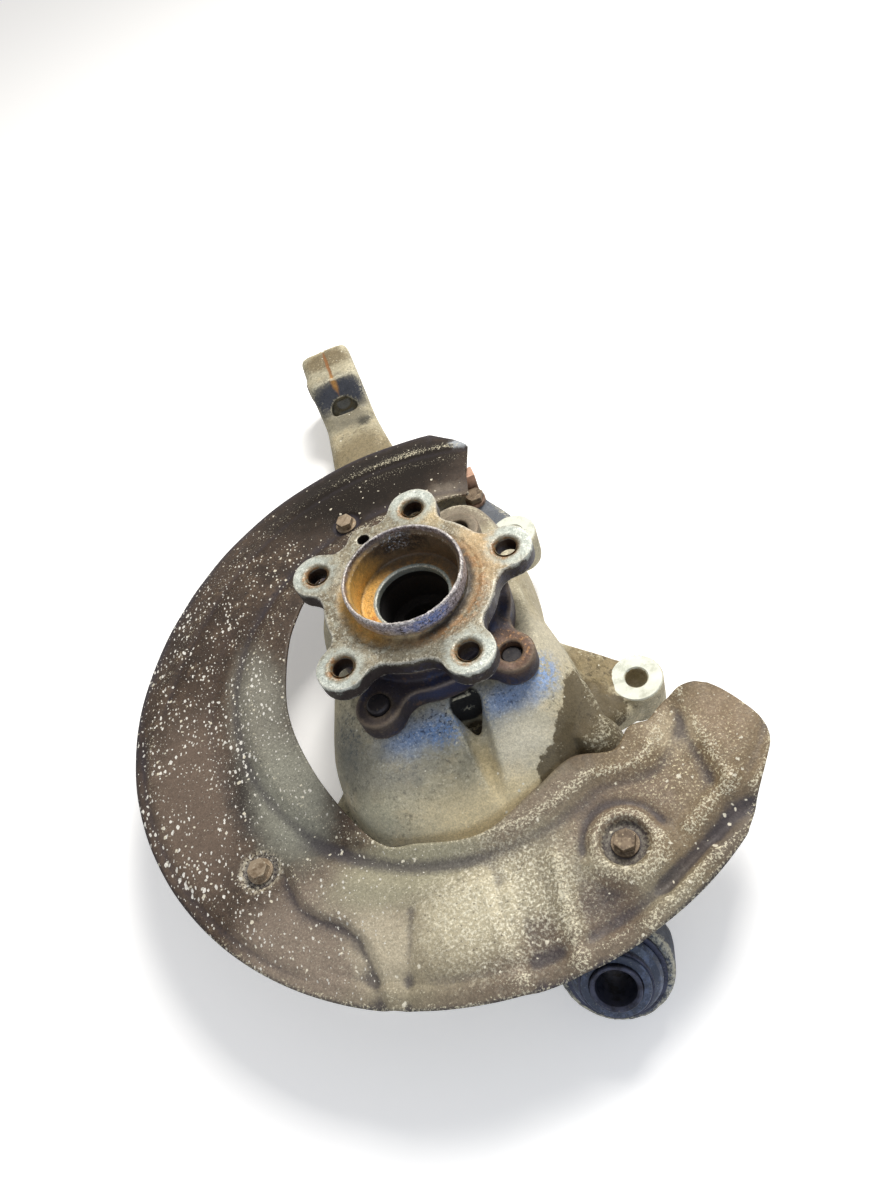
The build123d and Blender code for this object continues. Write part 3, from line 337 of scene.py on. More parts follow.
# Pressed steel sheet, dipped in black paint long ago: matt brown oxide, splashed with lime and rubbed to
# tan where stones hit it. Its rust grains of about 0.4 mm are drawn as 1.1 mm, so that they show
shieldSpec = {
    "base": "#4a3a2d",
    "tones": [("#382b21", 34, 0.42, 0.62), ("#5d4c3c", 12, 0.5, 0.7),
              ("#2a211a", 2.0, 0.54, 0.66)],
    "roughness": (0.48, 0.72),
    "metallic": 0.1,
    "wobbleSize": 7,
    "patches": [
        # Near black at the neck, grey-brown in front
        zone((-4, 162, -66), (110, 52, 60), "#1a120b", 0.94, 0.6, 12, rough=0.92),
        zone((-160, -30, -66), (46, 90, 60), "#786759", 0.75, 0.7, 12),
        # Painted shade along the steps of the left border
        zone((-128, -40, -66), (18, 46, 60), "#2e2a28", 0.8, 0.8, 9),
        # Lower part worn to tan, browner towards the tab and along the rim
        zone((-22, -170, -66), (150, 98, 60), "#8f856e", 0.94, 0.4, 14),
        zone((-108, -136, -66), (64, 48, 60), "#8b7c6e", 0.88, 0.6, 9),
        zone((-76, -150, -66), (24, 34, 60), "#bfb49b", 0.8, 0.8, 9),
        zone((104, -128, -62), (74, 70, 60), "#7d6b51", 0.92, 0.45, 12),
        zone((-2, -188, -70), (90, 18, 30), "#6f5f50", 0.8, 0.7, 8),
        zone((-26, -150, -64), (44, 30, 40), "#c2b89b", 0.9, 0.8, 9),
        zone((-1, -176, -66), (14, 18, 40), "#6b5b4b", 0.85, 0.6, 5),
        zone((33, -172, -66), (20, 20, 40), "#6b5a4a", 0.9, 0.5, 6),
        zone((56, -132, -64), (44, 26, 40), "#7a6856", 0.8, 0.6, 7),
        zone((20, -114, -62), (44, 10, 40), "#776857", 0.85, 0.6, 5, turn=16),
        # Painted shade along the valley towards the tab
        zone((104, -160, -66), (34, 16, 40), "#5f564e", 0.7, 0.7, 6, turn=24),
        zone((98, -104, -62), (20, 16, 40), "#b9a88c", 0.8, 0.8, 7),
        zone((124, -106, -60), (22, 24, 40), "#8c7860", 0.8, 0.7, 7),
        # Olive-grey dust along the inner border in front
        zone((-112, 6, -62), (27, 66, 60), "#8a877a", 0.85, 0.7, 6),
        zone((-104, -56, -62), (32, 52, 60), "#8f8e80", 0.88, 0.6, 6),
        zone((-56, -118, -62), (56, 24, 60), "#9b967e", 0.85, 0.6, 6),
        zone((34, 118, -62), (30, 18, 40), "#7f7466", 0.8, 0.7, 7),
        # Cream lime worn into the paint
        zone((-12, -152, -64), (60, 46, 60), "#ebe5ce", 0.95, 0.8, 12, broken=(1.5, 0.5)),
        zone((20, -150, -64), (90, 56, 60), "#d9d1b6", 0.9, 0.8, 12, broken=(1.4, 0.56)),
        zone((-60, -136, -64), (110, 62, 60), "#d2ccb6", 0.9, 0.8, 12, broken=(1.2, 0.58)),
        zone((96, -116, -62), (52, 44, 60), "#e2d7b4", 0.92, 0.8, 12, broken=(1.3, 0.55)),
        zone((-110, -20, -62), (56, 110, 60), "#bcbaa9", 0.85, 0.8, 12, broken=(1.2, 0.58)),
        zone((20, -156, -64), (130, 60, 60), "#4a3f35", 0.8, 0.6, 12, broken=(1.6, 0.58)),
        zone((-110, -30, -62), (50, 110, 60), "#3d3a34", 0.75, 0.7, 12, broken=(1.6, 0.59)),
        zone((-129.5, -87, -68), (15, 15, 8), "#e2d9c0", 0.92, 0.4, 3, ring=0.52, broken=(1.4, 0.44)),
        zone((52, -147, -68), (14.5, 14.5, 8), "#ded5b8", 0.95, 0.4, 2.5, ring=0.6, broken=(1.4, 0.45)),
        # Painted shade in a dark ring round the lower bolt's seat
        zone((52, -147, -68), (8.6, 8.6, 8), "#2c251f", 0.85, 0.25, 0.6),
        zone((-29.5, 130, -68), (13, 13, 8), "#1d1814", 0.85, 0.5, 3),
        zone((64, 164, -70), (9, 9, 12), "#aeb3b8", 0.85, 0.6, 7),
    ],
    # Dark in hollows as painted shade; pale lime on ridges, partly painted highlight, and pale along the
    # rim
    "wearAndPaintedLight": [
        {"by": "stand", "hex": "#37323a", "from": -0.2, "to": -1.0, "amount": 0.75,
         "grain": 1.6, "spread": 0.22},
        {"by": "stand", "hex": "#ddd5ba", "from": 0.6, "to": 0.9, "amount": 0.85,
         "grain": 1.2, "spread": 0.75},
        {"by": "rim", "hex": "#ddd3b6", "from": 0.95, "to": 1.25, "amount": 0.85,
         "grain": 1.4, "spread": 0.6},
    ],
    "flecks": [
        {"spacing": 3.5, "radius": 1.1, "share": 0.97, "hex": "#e6e3da", "mass": 24, "wobble": 2.2,
         "flat": True, "long": 1.6, "within": ((-158, 10, -66), (72, 170, 200))},
        {"spacing": 2.7, "radius": 0.75, "share": 0.8, "hex": "#d5d1c6", "mass": 12, "wobble": 1.8,
         "flat": True, "long": 1.4, "within": ((-130, 0, -66), (140, 220, 200))},
        {"spacing": 6.0, "radius": 1.2, "share": 0.5, "hex": "#ddd6c2", "mass": 24, "wobble": 2.4,
         "flat": True},
    ],
    "grain": [(1.1, 0.24), (2.6, 0.14)],
    "relief": [(1.3, 0.26), (6, 0.35)],
}

# Five wheel bolt holes, 72 degrees apart
holeCircle = 56
holeSpots = [(holeCircle * math.cos(math.radians(72 * k)), holeCircle * math.sin(math.radians(72 * k)))
             for k in range(5)]

# Rubbed pads streaked light and dark, and rust run out of each bolt hole, mostly towards one side
holeZones = [
    patch
    for k, (x, y) in enumerate(holeSpots)
    for patch in (
        zone((x * 1.08, y * 1.08, 0), (20, 18, 4), "#b9bfb6", 0.9, 0.45, 6, turn=72 * k),
        zone((x * 1.13, y * 1.13, 0), (16.5, 13.5, 4), "#dfe3da", 0.75, 0.7, 4, turn=72 * k,
             broken=(3.4, 0.46)),
        zone((x * 1.1, y * 1.1, 0), (19, 17, 4), "#82928f", 0.7, 0.6, 4, turn=72 * k, broken=(2.0, 0.56)),
        zone((x - 0.8, y - 0.6, 0), (10.2, 10.2, 4), "#8d8267", 0.85, 0.3, 1.8),
        zone((x - 1.0, y - 0.8, 0), (8.9, 8.9, 5), "#94693c", 0.85, 0.25, 1.6, broken=(3.0, 0.44)),
        # The hole's wall painted dark brown as shade
        zone((x + 0.3, y + 0.3, -4.4), (7.3, 7.3, 4.6), "#3d2a1c", 0.97, 0.15, 0.5),
    )
]

# Forged and turned hub steel: pale zinc-grey and half bright where the wheel rubs, rust where water
# stands. Its pits of about 0.3 mm are drawn as 0.8 mm, so that they show
hubSpec = {
    "base": "#968d77",
    "tones": [("#7a6f59", 9, 0.43, 0.6), ("#a7a594", 5, 0.5, 0.64),
              ("#cbc9b9", 1.5, 0.53, 0.65), ("#5a5040", 1.8, 0.54, 0.66)],
    "roughness": (0.34, 0.58),
    "metallic": 0.25,
    "wobbleSize": 6,
    "patches": [
        # Side and back of the wheel flange painted dark as shade, mottled blue-dark towards the lower right
        zone((0, 0, -7.4), (90, 90, 6.6), "#2e2627", 0.97, 0.12, 0.5, drum=True),
        zone((30, -30, -8), (60, 60, 7), "#34344e", 0.5, 0.3, 2, broken=(5, 0.48)),
        # Web: darker and greener below the spigot, ochre to the caliper side
        zone((-10, -46, 0), (38, 16, 5), "#5e5949", 0.7, 0.8, 5),
        zone((44, 6, 0), (16, 38, 5), "#cfb184", 0.75, 0.8, 5),
        zone((30, 42, 0), (22, 14, 5), "#b3a079", 0.8, 0.8, 5),
    ] + holeZones + [
        # Ring of rust round the spigot's foot
        zone((0, 0, -1), (43, 43, 5), "#8b7350", 0.8, 0.2, 2.5, ring=0.8, broken=(7, 0.38)),
        zone((8, -6, -1), (39, 38, 6), "#a07240", 0.7, 0.25, 2.5, ring=0.78, broken=(5, 0.42)),
        # Painted shade in the groove at the foot of the spigot wall
        zone((0, 0, -1.5), (38.5, 38.5, 3), "#29211d", 0.9, 0.1, 1.2, ring=0.82),
        # Spigot wall: pitted grey, with a painted blue sky reflection where it faces the floor
        zone((0, 0, 7), (36.5, 36.5, 6.8), "#9a9195", 0.94, 0.1, 0.8, drum=True),
        zone((8, -34, 7), (26, 10, 6), "#7f9ade", 0.8, 0.8, 5),
        zone((0, 0, 8), (37, 37, 7), "#dcd3da", 0.9, 0.06, 1, broken=(1.6, 0.52), drum=True),
        zone((0, 0, 6), (37, 37, 7), "#2e2426", 0.92, 0.06, 1, broken=(1.8, 0.52), drum=True),
        # Inside of the cup: dark brown wall, ochre rust on the left, pale run below the rim
        zone((0, 0, -1.5), (31.6, 31.6, 12.8), "#6b5a44", 0.97, 0.03, 0.4, drum=True),
        zone((6, 27, 3), (24, 12, 11), "#2f2822", 0.85, 0.6, 6, broken=(3.0, 0.42)),
        zone((2, 28, 4), (10, 10, 9), "#c5ccd6", 0.85, 0.7, 5, broken=(1.4, 0.52)),
        zone((-18, 0, -3), (24, 34, 22), "#e0b05c", 0.96, 0.5, 6),
        zone((-6, -26, -5), (18, 12, 18), "#d8c194", 0.85, 0.7, 6),
        zone((0, 0, -10), (30, 30, 5), "#a87c42", 0.75, 0.4, 6, broken=(5, 0.42)),
        zone((-22, -10, -5), (14, 16, 16), "#cf7d30", 0.85, 0.6, 6, broken=(3.0, 0.5)),
        zone((-14, 2, -5), (22, 28, 18), "#3f2512", 0.9, 0.6, 6, broken=(1.9, 0.58)),
        zone((-12, 4, -5), (22, 26, 18), "#efdcae", 0.85, 0.6, 6, broken=(1.3, 0.6)),
        zone((0, 0, 7), (31.6, 31.6, 2.4), "#2a2320", 0.9, 0.3, 0.8, ring=0.9),
        # Painted highlight along the spigot's rim
        zone((0, 0, 12.2), (36, 36, 1.6), "#d2cbc8", 0.92, 0.5, 1.0, ring=0.84),
        zone((-14, 24, 11.4), (20, 12, 3), "#3c302a", 0.85, 0.5, 3, broken=(3.0, 0.46)),
        # Painted highlight round the mouth of the bore, and the bore painted black as shade
        zone((0, 0, -11), (22.6, 22.6, 3), "#8d9a98", 0.92, 0.06, 0.5, drum=True),
        zone((0, 0, -46), (20.8, 20.8, 33.4), "#070707", 1.0, 0.02, 0.2, rough=0.9, drum=True),
        zone((0, 0, -62), (60, 60, 46), "#2d2a2a", 0.7, 0.05, 1, drum=True),
    ],
    # Pale on edges as wear and painted highlight, dark in hollows as painted shade
    "wearAndPaintedLight": [
        {"by": "stand", "hex": "#e9e6d8", "from": 0.3, "to": 0.6, "amount": 0.4,
         "grain": 1.6, "spread": 0.35},
        {"by": "stand", "hex": "#2a221d", "from": -0.2, "to": -0.8, "amount": 0.65,
         "grain": 2.4, "spread": 0.15},
    ],
    "grain": [(0.8, 0.26), (2.2, 0.2)],
    "relief": [(1.6, 0.26), (0.7, 0.14), (5, 0.25)],
}

# Bearing steel left as forged: dark satin rust with a blue bloom
bearingSpec = {
    "base": "#393238",
    "tones": [("#2a282f", 12, 0.44, 0.62), ("#2d3450", 16, 0.5, 0.66),
              ("#56443a", 6, 0.54, 0.68), ("#70604f", 1.6, 0.6, 0.7)],
    "roughness": (0.42, 0.68),
    "metallic": 0.25,
    "patches": [
        zone((37, -47, -24), (19, 19, 12), "#6a4d38", 0.85, 0.6, 5),
        zone((42, -44, -22), (18, 18, 10), "#b98a58", 0.8, 0.6, 5, broken=(2.2, 0.54)),
        zone((40, 54, -26), (30, 28, 18), "#7d7260", 0.95, 0.4, 5),
        zone((-37, -51, -28), (17, 14, 10), "#4f443c", 0.8, 0.6, 5),
        zone((6, -54, -28), (34, 14, 12), "#2f3656", 0.7, 0.7, 5),
        # The hole in the lower right lobe painted dark as shade
        zone((37, -47, -22), (7.5, 7.5, 8), "#1f1c20", 0.95, 0.2, 1),
    ],
    # Pale on edges as wear and painted highlight
    "wearAndPaintedLight": [
        {"by": "stand", "hex": "#8a7a66", "from": 0.12, "to": 0.5, "amount": 0.5,
         "grain": 1.6, "spread": 0.12},
    ],
    "grain": [(0.9, 0.25)],
    "relief": [(2.2, 0.26), (0.8, 0.14)],
}

# Zinc-plated bolt steel gone brown: dull, with glints on its edges
boltSpec = {
    "base": "#7d6c58",
    "tones": [("#5a4b3c", 4, 0.46, 0.62), ("#a3947a", 1.6, 0.54, 0.66)],
    "roughness": (0.4, 0.65), "metallic": 0.4,
    "relief": [(1.0, 0.08)],
    "roundEdge": 0.5,
}
# Same steel, dark inside the bearing lobes
darkBoltSpec = dict(
    boltSpec, base="#2e2a2c", tones=[("#1f1d22", 4, 0.44, 0.6), ("#5d5346", 1.6, 0.58, 0.7)])
# Same bolt, its plating kept
brightBoltSpec = dict(
    boltSpec, base="#a5937c", tones=[("#7f6c56", 4, 0.46, 0.62), ("#c9bda6", 1.4, 0.54, 0.68)])
# Moulded chloroprene boots: blue-black, satin, cracked and dusty
bootSpec = {
    "base": "#323b4d",
    "tones": [("#56627c", 8, 0.46, 0.64), ("#1b1e26", 3, 0.54, 0.7), ("#83847f", 0.9, 0.58, 0.7)],
    "roughness": (0.3, 0.5), "relief": [(1.4, 0.10)],
}
# Turned sleeve steel: dull grey-blue under old oil
sleeveSpec = {
    "base": "#45485a",
    "tones": [("#2c2d38", 6, 0.46, 0.62), ("#7a756e", 1.2, 0.6, 0.72)],
    "roughness": (0.35, 0.55), "metallic": 0.5, "relief": [(1.0, 0.05)], "roundEdge": 0.5,
}
# Milled aluminium face: pale and even, hardly shiny
milledSpec = {
    "base": "#dfe2d4",
    "tones": [("#c9ccbc", 6, 0.48, 0.66), ("#f0f1e8", 1.1, 0.56, 0.7), ("#a8a58e", 1.0, 0.64, 0.74)],
    "roughness": (0.45, 0.65), "metallic": 0.1, "relief": [(0.9, 0.05)],
}
# Copper-coated bracket steel: soft pink-brown, dirty at its foot
bracketSpec = {
    "base": "#cba48c",
    "tones": [("#a27a62", 4, 0.5, 0.66), ("#e2c3ae", 1.4, 0.58, 0.7)],
    "roughness": (0.4, 0.6), "metallic": 0.3, "relief": [(1.0, 0.06)], "roundEdge": 0.6,
    "patches": [zone((60, 124, -86), (14, 11, 16), "#5d493a", 0.9, 0.4, 3)],
}
# Ground bearing balls: almost mirrors
ballSpec = {"base": "#b9bcc2", "roughness": (0.12, 0.2), "metallic": 1.0}
# Moulded polyamide cages: plain matt tan
cageSpec = {"base": "#c7b78f", "roughness": (0.45, 0.55)}
# Moulded acetal race: milky white, a little waxy
raceSpec = {"base": "#dcd9cf", "roughness": (0.4, 0.5)}
# Moulded nitrile seals: black with a low shine
sealSpec = {
    "base": "#1b1b1e", "tones": [("#2e3138", 5, 0.5, 0.7)], "roughness": (0.3, 0.42),
}

# Each finish: its material, how it is drawn and the nodes that have it
finishes = {
    "cast": ("sand-cast aluminium", castSpec, ["knuckle"]),
    "shield": ("pressed sheet steel", shieldSpec, ["splash_shield"]),
    "hub": ("forged hub steel", hubSpec, ["hub"]),
    "bearing": ("rusted bearing steel", bearingSpec, ["bearing_outer_ring", "bearing_inner_ring"]),
    "bolt": ("brown bolt steel", boltSpec, ["pinch_bolt", "hose_bracket_bolt", "shield_bolt_lower"]),
    "darkBolt": ("oiled bolt steel", darkBoltSpec, ["bearing_bolt_%d" % k for k in range(1, 5)]),
    "brightBolt": ("plated bolt steel", brightBoltSpec, ["shield_bolt_front", "shield_bolt_upper"]),
    "boot": ("chloroprene rubber", bootSpec, ["joint_boot_outer", "joint_boot_inner"]),
    "sleeve": ("turned sleeve steel", sleeveSpec,
               ["joint_housing", "joint_sleeve", "joint_ring_outer", "joint_ring_inner"]),
    "milled": ("milled aluminium", milledSpec, []),
    "bracket": ("copper-coated bracket steel", bracketSpec, ["hose_bracket"]),
    "ball": ("ground ball steel", ballSpec, ["ball_row_outboard", "ball_row_inboard"]),
    "cage": ("moulded polyamide", cageSpec, ["ball_cage_outboard", "ball_cage_inboard"]),
    "race": ("moulded acetal", raceSpec, ["joint_race"]),
    "seal": ("nitrile rubber", sealSpec, ["bearing_seal_outboard", "bearing_encoder_seal"]),
}
materials = {}
for key, (title, spec, names) in finishes.items():
    materials[key] = weathered(title, spec)
    for name in names:
        nodes[name].data.materials.clear()
        nodes[name].data.materials.append(materials[key])
print("materials made:", len(materials))

# Pressed splash shield, drawn finely over the CAD sheet. Places are x and y from the hub's axis, angles
# in degrees. A ramp is where it starts and how long it is, a crease is rise, half width, from and to
shield = {
    "level": -66.0, "radius": 196.0, "thickness": 1.5, "columns": 560, "rows": 56,
    "rays": (64.0, 325.6), "arc": (-57, -284), "arcPoints": 180, "wave": 0.25, "underCad": 0.05,
    # Raised border round the opening, borderOut farther out towards the tab, and its wide step in front
    "borderRise": 4.0, "border": (117.0, 12.0), "borderOut": 17.0, "borderTurn": (292.0, 14.0),
    "stepRise": 1.8, "step": (132.0, 14.0), "stepFrom": (138.0, 12.0), "stepTo": (208.0, 16.0),
    # Rim that slopes down behind a groove, farther out in front
    "rimSlope": 0.34, "rim": 172.0, "rimOut": 16.0, "rimTurn": (140.0, 50.0), "grooveDepth": 1.5,
    "grooveIn": 4.0, "groove": 4.5, "frontGroove": (189.5, 2.8), "frontFrom": (165.0, 15.0),
    "frontTo": (225.0, 20.0),
    # Raised field in front of the middle: its left edge is at fieldEdges for the y of fieldLevels
    "fieldRise": 3.5, "fieldLevels": (-200, -156, -143, -133, -125, -116, -102, -80),
    "fieldEdges": (-84, -84, -87, -94, -105, -113, -117, -119), "fieldLeft": 7.0,
    "fieldRight": (-20.0, 9.0), "fieldIn": (128.0, 14.0), "fieldTop": (80.0, 20.0),
    "creases": [
        (-1.1, 3.0, (-57, -140), (-73, -188)), (2.6, 5.0, (18, -143), (11, -192)),
        (1.8, 3.4, (-10, -148), (-14, -192)), (2.2, 5.0, (48, -188), (88, -166)),
        (-2.8, 4.6, (62, -173), (114, -152)), (1.8, 4.2, (84, -151), (112, -137)),
    ],
    # Hollows: depth, radius, middle, width over length
    "hollows": [(3.2, 13.0, (33, -173), 1.0), (1.6, 15.0, (-1, -176), 0.6)],
    "tabRise": 3.5, "tab": (102.0, 9.0), "tabEnd": (140.0, 14.0),
    # Flat seats of the bolts, with a low dome and an arc-shaped groove round the lower one
    "bolts": [(52.0, -147.0, 10.5), (-129.5, -87.0, 9.0), (-29.5, 130.0, 9.0)],
    "seat": -68.0, "seatBlend": 2.6, "seatUnder": 0.02, "domeRise": 2.4, "dome": (16.0, 10.0),
    "arcDepth": 2.4, "arcGroove": (20.0, 3.4), "arcEnd": (-152.0, 10.0),
    # Outline after the round rim: cut corner, opening and tab
    "corner": [(61, 171), (68, 157), (63, 149), (61, 141), (54, 110)],
    "opening": [(54, 110), (38, 113), (5, 109), (-36, 99), (-74, 70), (-94, 10), (-89, -42), (-66, -97),
                (-43, -109), (-11, -116.5), (22, -105), (45, -96.5), (66, -101.5), (78, -93), (89, -93.5)],
    "tabOutline": [(89, -93.5), (103, -86), (122, -83), (136, -104), (139, -125), (116, -154)],
    # Wear
    "standPasses": 26, "leastStand": -1.2, "mostStand": 0.62, "frontLime": 0.35, "limeFrom": (-40, 60),
    "boltLime": 0.65, "boltLimeRadius": 26, "rimWear": 9.0, "rimWearFrom": (60, 60),
}


def smoothStep(value):
    t = np.clip(value, 0.0, 1.0)
    return t * t * (3 - 2 * t)


def ramp(value, start, length):
    return smoothStep((value - start) / length)


def bump(distance, width):
    return np.exp(-((distance / width) ** 2))


def segmentDistance(x, y, start, end):
    ux, uy = end[0] - start[0], end[1] - start[1]
    along = np.clip(((x - start[0]) * ux + (y - start[1]) * uy) / (ux * ux + uy * uy), 0.0, 1.0)
    return np.hypot(x - start[0] - along * ux, y - start[1] - along * uy)


def shieldHeight(x, y):
    s = shield
    radius = np.hypot(x, y)
    angle = np.degrees(np.arctan2(y, x)) % 360
    height = np.full_like(x, s["level"])
    borderStart = s["border"][0] + s["borderOut"] * ramp(angle, *s["borderTurn"])
    height += s["borderRise"] * (1 - ramp(radius, borderStart, s["border"][1]))
    side = ramp(angle, *s["stepFrom"]) * (1 - ramp(angle, *s["stepTo"]))
    height += s["stepRise"] * side * (1 - ramp(radius, *s["step"]))
    rim = s["rim"] + s["rimOut"] * ramp(angle, *s["rimTurn"])
    front = ramp(angle, *s["frontFrom"]) * (1 - ramp(angle, *s["frontTo"]))
    height -= s["grooveDepth"] * (1 - front) * bump(radius - rim + s["grooveIn"], s["groove"])
    height -= s["grooveDepth"] * front * bump(radius - s["frontGroove"][0], s["frontGroove"][1])
    height -= s["rimSlope"] * np.maximum(0.0, radius - rim)
    fieldEdge = np.interp(y, s["fieldLevels"], s["fieldEdges"])
    field = ramp(x, fieldEdge, s["fieldLeft"]) * (1 - ramp(x, *s["fieldRight"]))
    height += s["fieldRise"] * field * ramp(radius, *s["fieldIn"]) * ramp(-y, *s["fieldTop"])
    for rise, width, start, end in s["creases"]:
        height += rise * bump(segmentDistance(x, y, start, end), width)
    for depth, reach, (midX, midY), narrow in s["hollows"]:
        height -= depth * bump(np.hypot((x - midX) / narrow, y - midY), reach)
    height += s["tabRise"] * ramp(x, *s["tab"]) * (1 - ramp(-y, *s["tabEnd"]))
    lowerX, lowerY, _ = s["bolts"][0]
    fromLower = np.hypot(x - lowerX, y - lowerY)
    height += s["domeRise"] * (1 - ramp(fromLower, *s["dome"]))
    height -= s["arcDepth"] * bump(fromLower - s["arcGroove"][0], s["arcGroove"][1]) * ramp(y, *s["arcEnd"])
    for boltX, boltY, flat in s["bolts"]:
        level = 1 - ramp(np.hypot(x - boltX, y - boltY), flat, s["seatBlend"])
        height += level * (s["seat"] - height)
    return height


def catmull(points, steps=14):
    # Smooth curve through a few points
    p = np.array([2 * np.array(points[0]) - np.array(points[1])] + [np.array(q) for q in points]
                 + [2 * np.array(points[-1]) - np.array(points[-2])], dtype=float)
    out = []
    for k in range(1, len(p) - 2):
        for t in np.linspace(0, 1, steps, endpoint=False):
            out.append(0.5 * (2 * p[k] + (p[k + 1] - p[k - 1]) * t
                              + (2 * p[k - 1] - 5 * p[k] + 4 * p[k + 1] - p[k + 2]) * t * t
                              + (3 * p[k] - p[k - 1] - 3 * p[k + 1] + p[k + 2]) * t ** 3))
    out.append(p[-2])
    return out


def shieldOutline():
    turns = np.radians(np.linspace(*shield["arc"], shield["arcPoints"]))
    arc = [(shield["radius"] * math.cos(a), shield["radius"] * math.sin(a)) for a in turns]
    opening, tab = catmull(shield["opening"]), catmull(shield["tabOutline"])
    return np.array(arc + shield["corner"] + opening[1:] + tab[1:])


def shieldGrid():
    # Rays from the hub's axis, each cut into rows between the two edges of the sheet that it meets
    outline = shieldOutline()
    edge = np.roll(outline, -1, axis=0) - outline
    grid = []
    for ray in np.radians(np.linspace(*shield["rays"], shield["columns"])):
        d = np.array([math.cos(ray), math.sin(ray)])
        cross = d[0] * edge[:, 1] - d[1] * edge[:, 0]
        cross[np.abs(cross) < 1e-9] = 1e-9
        reach = (outline[:, 0] * edge[:, 1] - outline[:, 1] * edge[:, 0]) / cross
        along = (outline[:, 0] * d[1] - outline[:, 1] * d[0]) / cross
        hits = reach[(along >= 0) & (along <= 1) & (reach > 1)]
        if len(hits) < 2:
            continue
        radii = hits.min() + (hits.max() - hits.min()) * np.linspace(0, 1, shield["rows"])
        grid.append(np.stack([radii * d[0], radii * d[1]], 1))
    return np.array(grid)


def buildShield():
    s = shield
    grid = shieldGrid()
    x, y = grid[..., 0], grid[..., 1]
    z = shieldHeight(x, y) - s["underCad"]
    # Slight waves of a sheet that has been knocked about
    z += s["wave"] * np.sin(x * 0.11 + 1.7 * np.sin(y * 0.05)) * np.sin(y * 0.09 + 0.6)
    for boltX, boltY, flat in s["bolts"]:
        near = np.hypot(x - boltX, y - boltY) < flat
        z[near] = np.minimum(z[near], s["seat"] - s["seatUnder"])
    # How far each point stands out of its surroundings, and how close it is to the outer edge
    wide = z.copy()
    for _ in range(s["standPasses"]):
        padded = np.pad(wide, 1, mode="edge")
        wide = (padded[:-2, 1:-1] + padded[2:, 1:-1] + padded[1:-1, :-2] + padded[1:-1, 2:]) / 4
    stand = z - wide
    # Lime stays on the ridges of the caliper side, less in front and round the lower bolt
    lime = s["frontLime"] + (1 - s["frontLime"]) * ramp(x, *s["limeFrom"])
    lowerX, lowerY, _ = s["bolts"][0]
    lime *= 1 - s["boltLime"] * bump(np.hypot(x - lowerX, y - lowerY), s["boltLimeRadius"])
    stand = np.clip(np.where(stand > 0, stand * lime, stand), s["leastStand"], s["mostStand"])
    fromEdge = np.linalg.norm(grid[:, -1:, :] - grid, axis=2)
    rim = np.clip(1 - fromEdge / s["rimWear"], 0, 1) * ramp(-y, *s["rimWearFrom"])
    verts = np.stack([x, y, z], -1).reshape(-1, 3) * mm
    columns, rows = x.shape
    corners = [i * rows + j for i in range(columns - 1) for j in range(rows - 1)]
    obj = meshObject("shieldSkin", verts, [(a, a + 1, a + rows + 1, a + rows) for a in corners])
    if obj.data.polygons[0].normal.z < 0:
        obj.data.flip_normals()
    storeValue(obj.data, "stand", stand.ravel())
    storeValue(obj.data, "rim", rim.ravel())
    solid = obj.modifiers.new("sheet", "SOLIDIFY")
    solid.thickness = s["thickness"] * mm
    solid.offset = -1
    place(obj, materials["shield"], "carrier")
    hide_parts("splash_shield")


buildShield()
print("shield built")

# Skins of cast and forged pieces, with the soft edges that such work has: the grid they are drawn with,
# how often it is relaxed, how many triangles are kept and how high the waves of its surface are
skins = {
    "knuckle": {"voxel": 1.2, "passes": 9, "triangles": 190000, "waves": 0.35, "standPasses": 16},
    "hub": {"voxel": 0.75, "passes": 2, "triangles": 180000, "waves": 0.0, "standPasses": 16},
    "bearing_outer_ring": {"voxel": 0.9, "passes": 5, "triangles": 110000, "waves": 0.3, "standPasses": 14},
}
relaxShare = 0.6


def meshArrays(mesh):
    co = np.empty(len(mesh.vertices) * 3)
    mesh.vertices.foreach_get("co", co)
    edges = np.empty(len(mesh.edges) * 2, dtype=np.int64)
    mesh.edges.foreach_get("vertices", edges)
    return co.reshape(-1, 3) / mm, edges[0::2], edges[1::2]


def relax(co, a, b, passes, share):
    # Moves each point towards the middle of its neighbours
    count = len(co)
    degree = np.bincount(a, minlength=count) + np.bincount(b, minlength=count)
    for _ in range(passes):
        total = np.stack([np.bincount(a, co[b, k], count) + np.bincount(b, co[a, k], count)
                          for k in range(3)], 1)
        co = co + (total / degree[:, None] - co) * share[:, None]
    return co


def evaluated(obj):
    graph = bpy.context.evaluated_depsgraph_get()
    return bpy.data.meshes.new_from_object(obj.evaluated_get(graph))


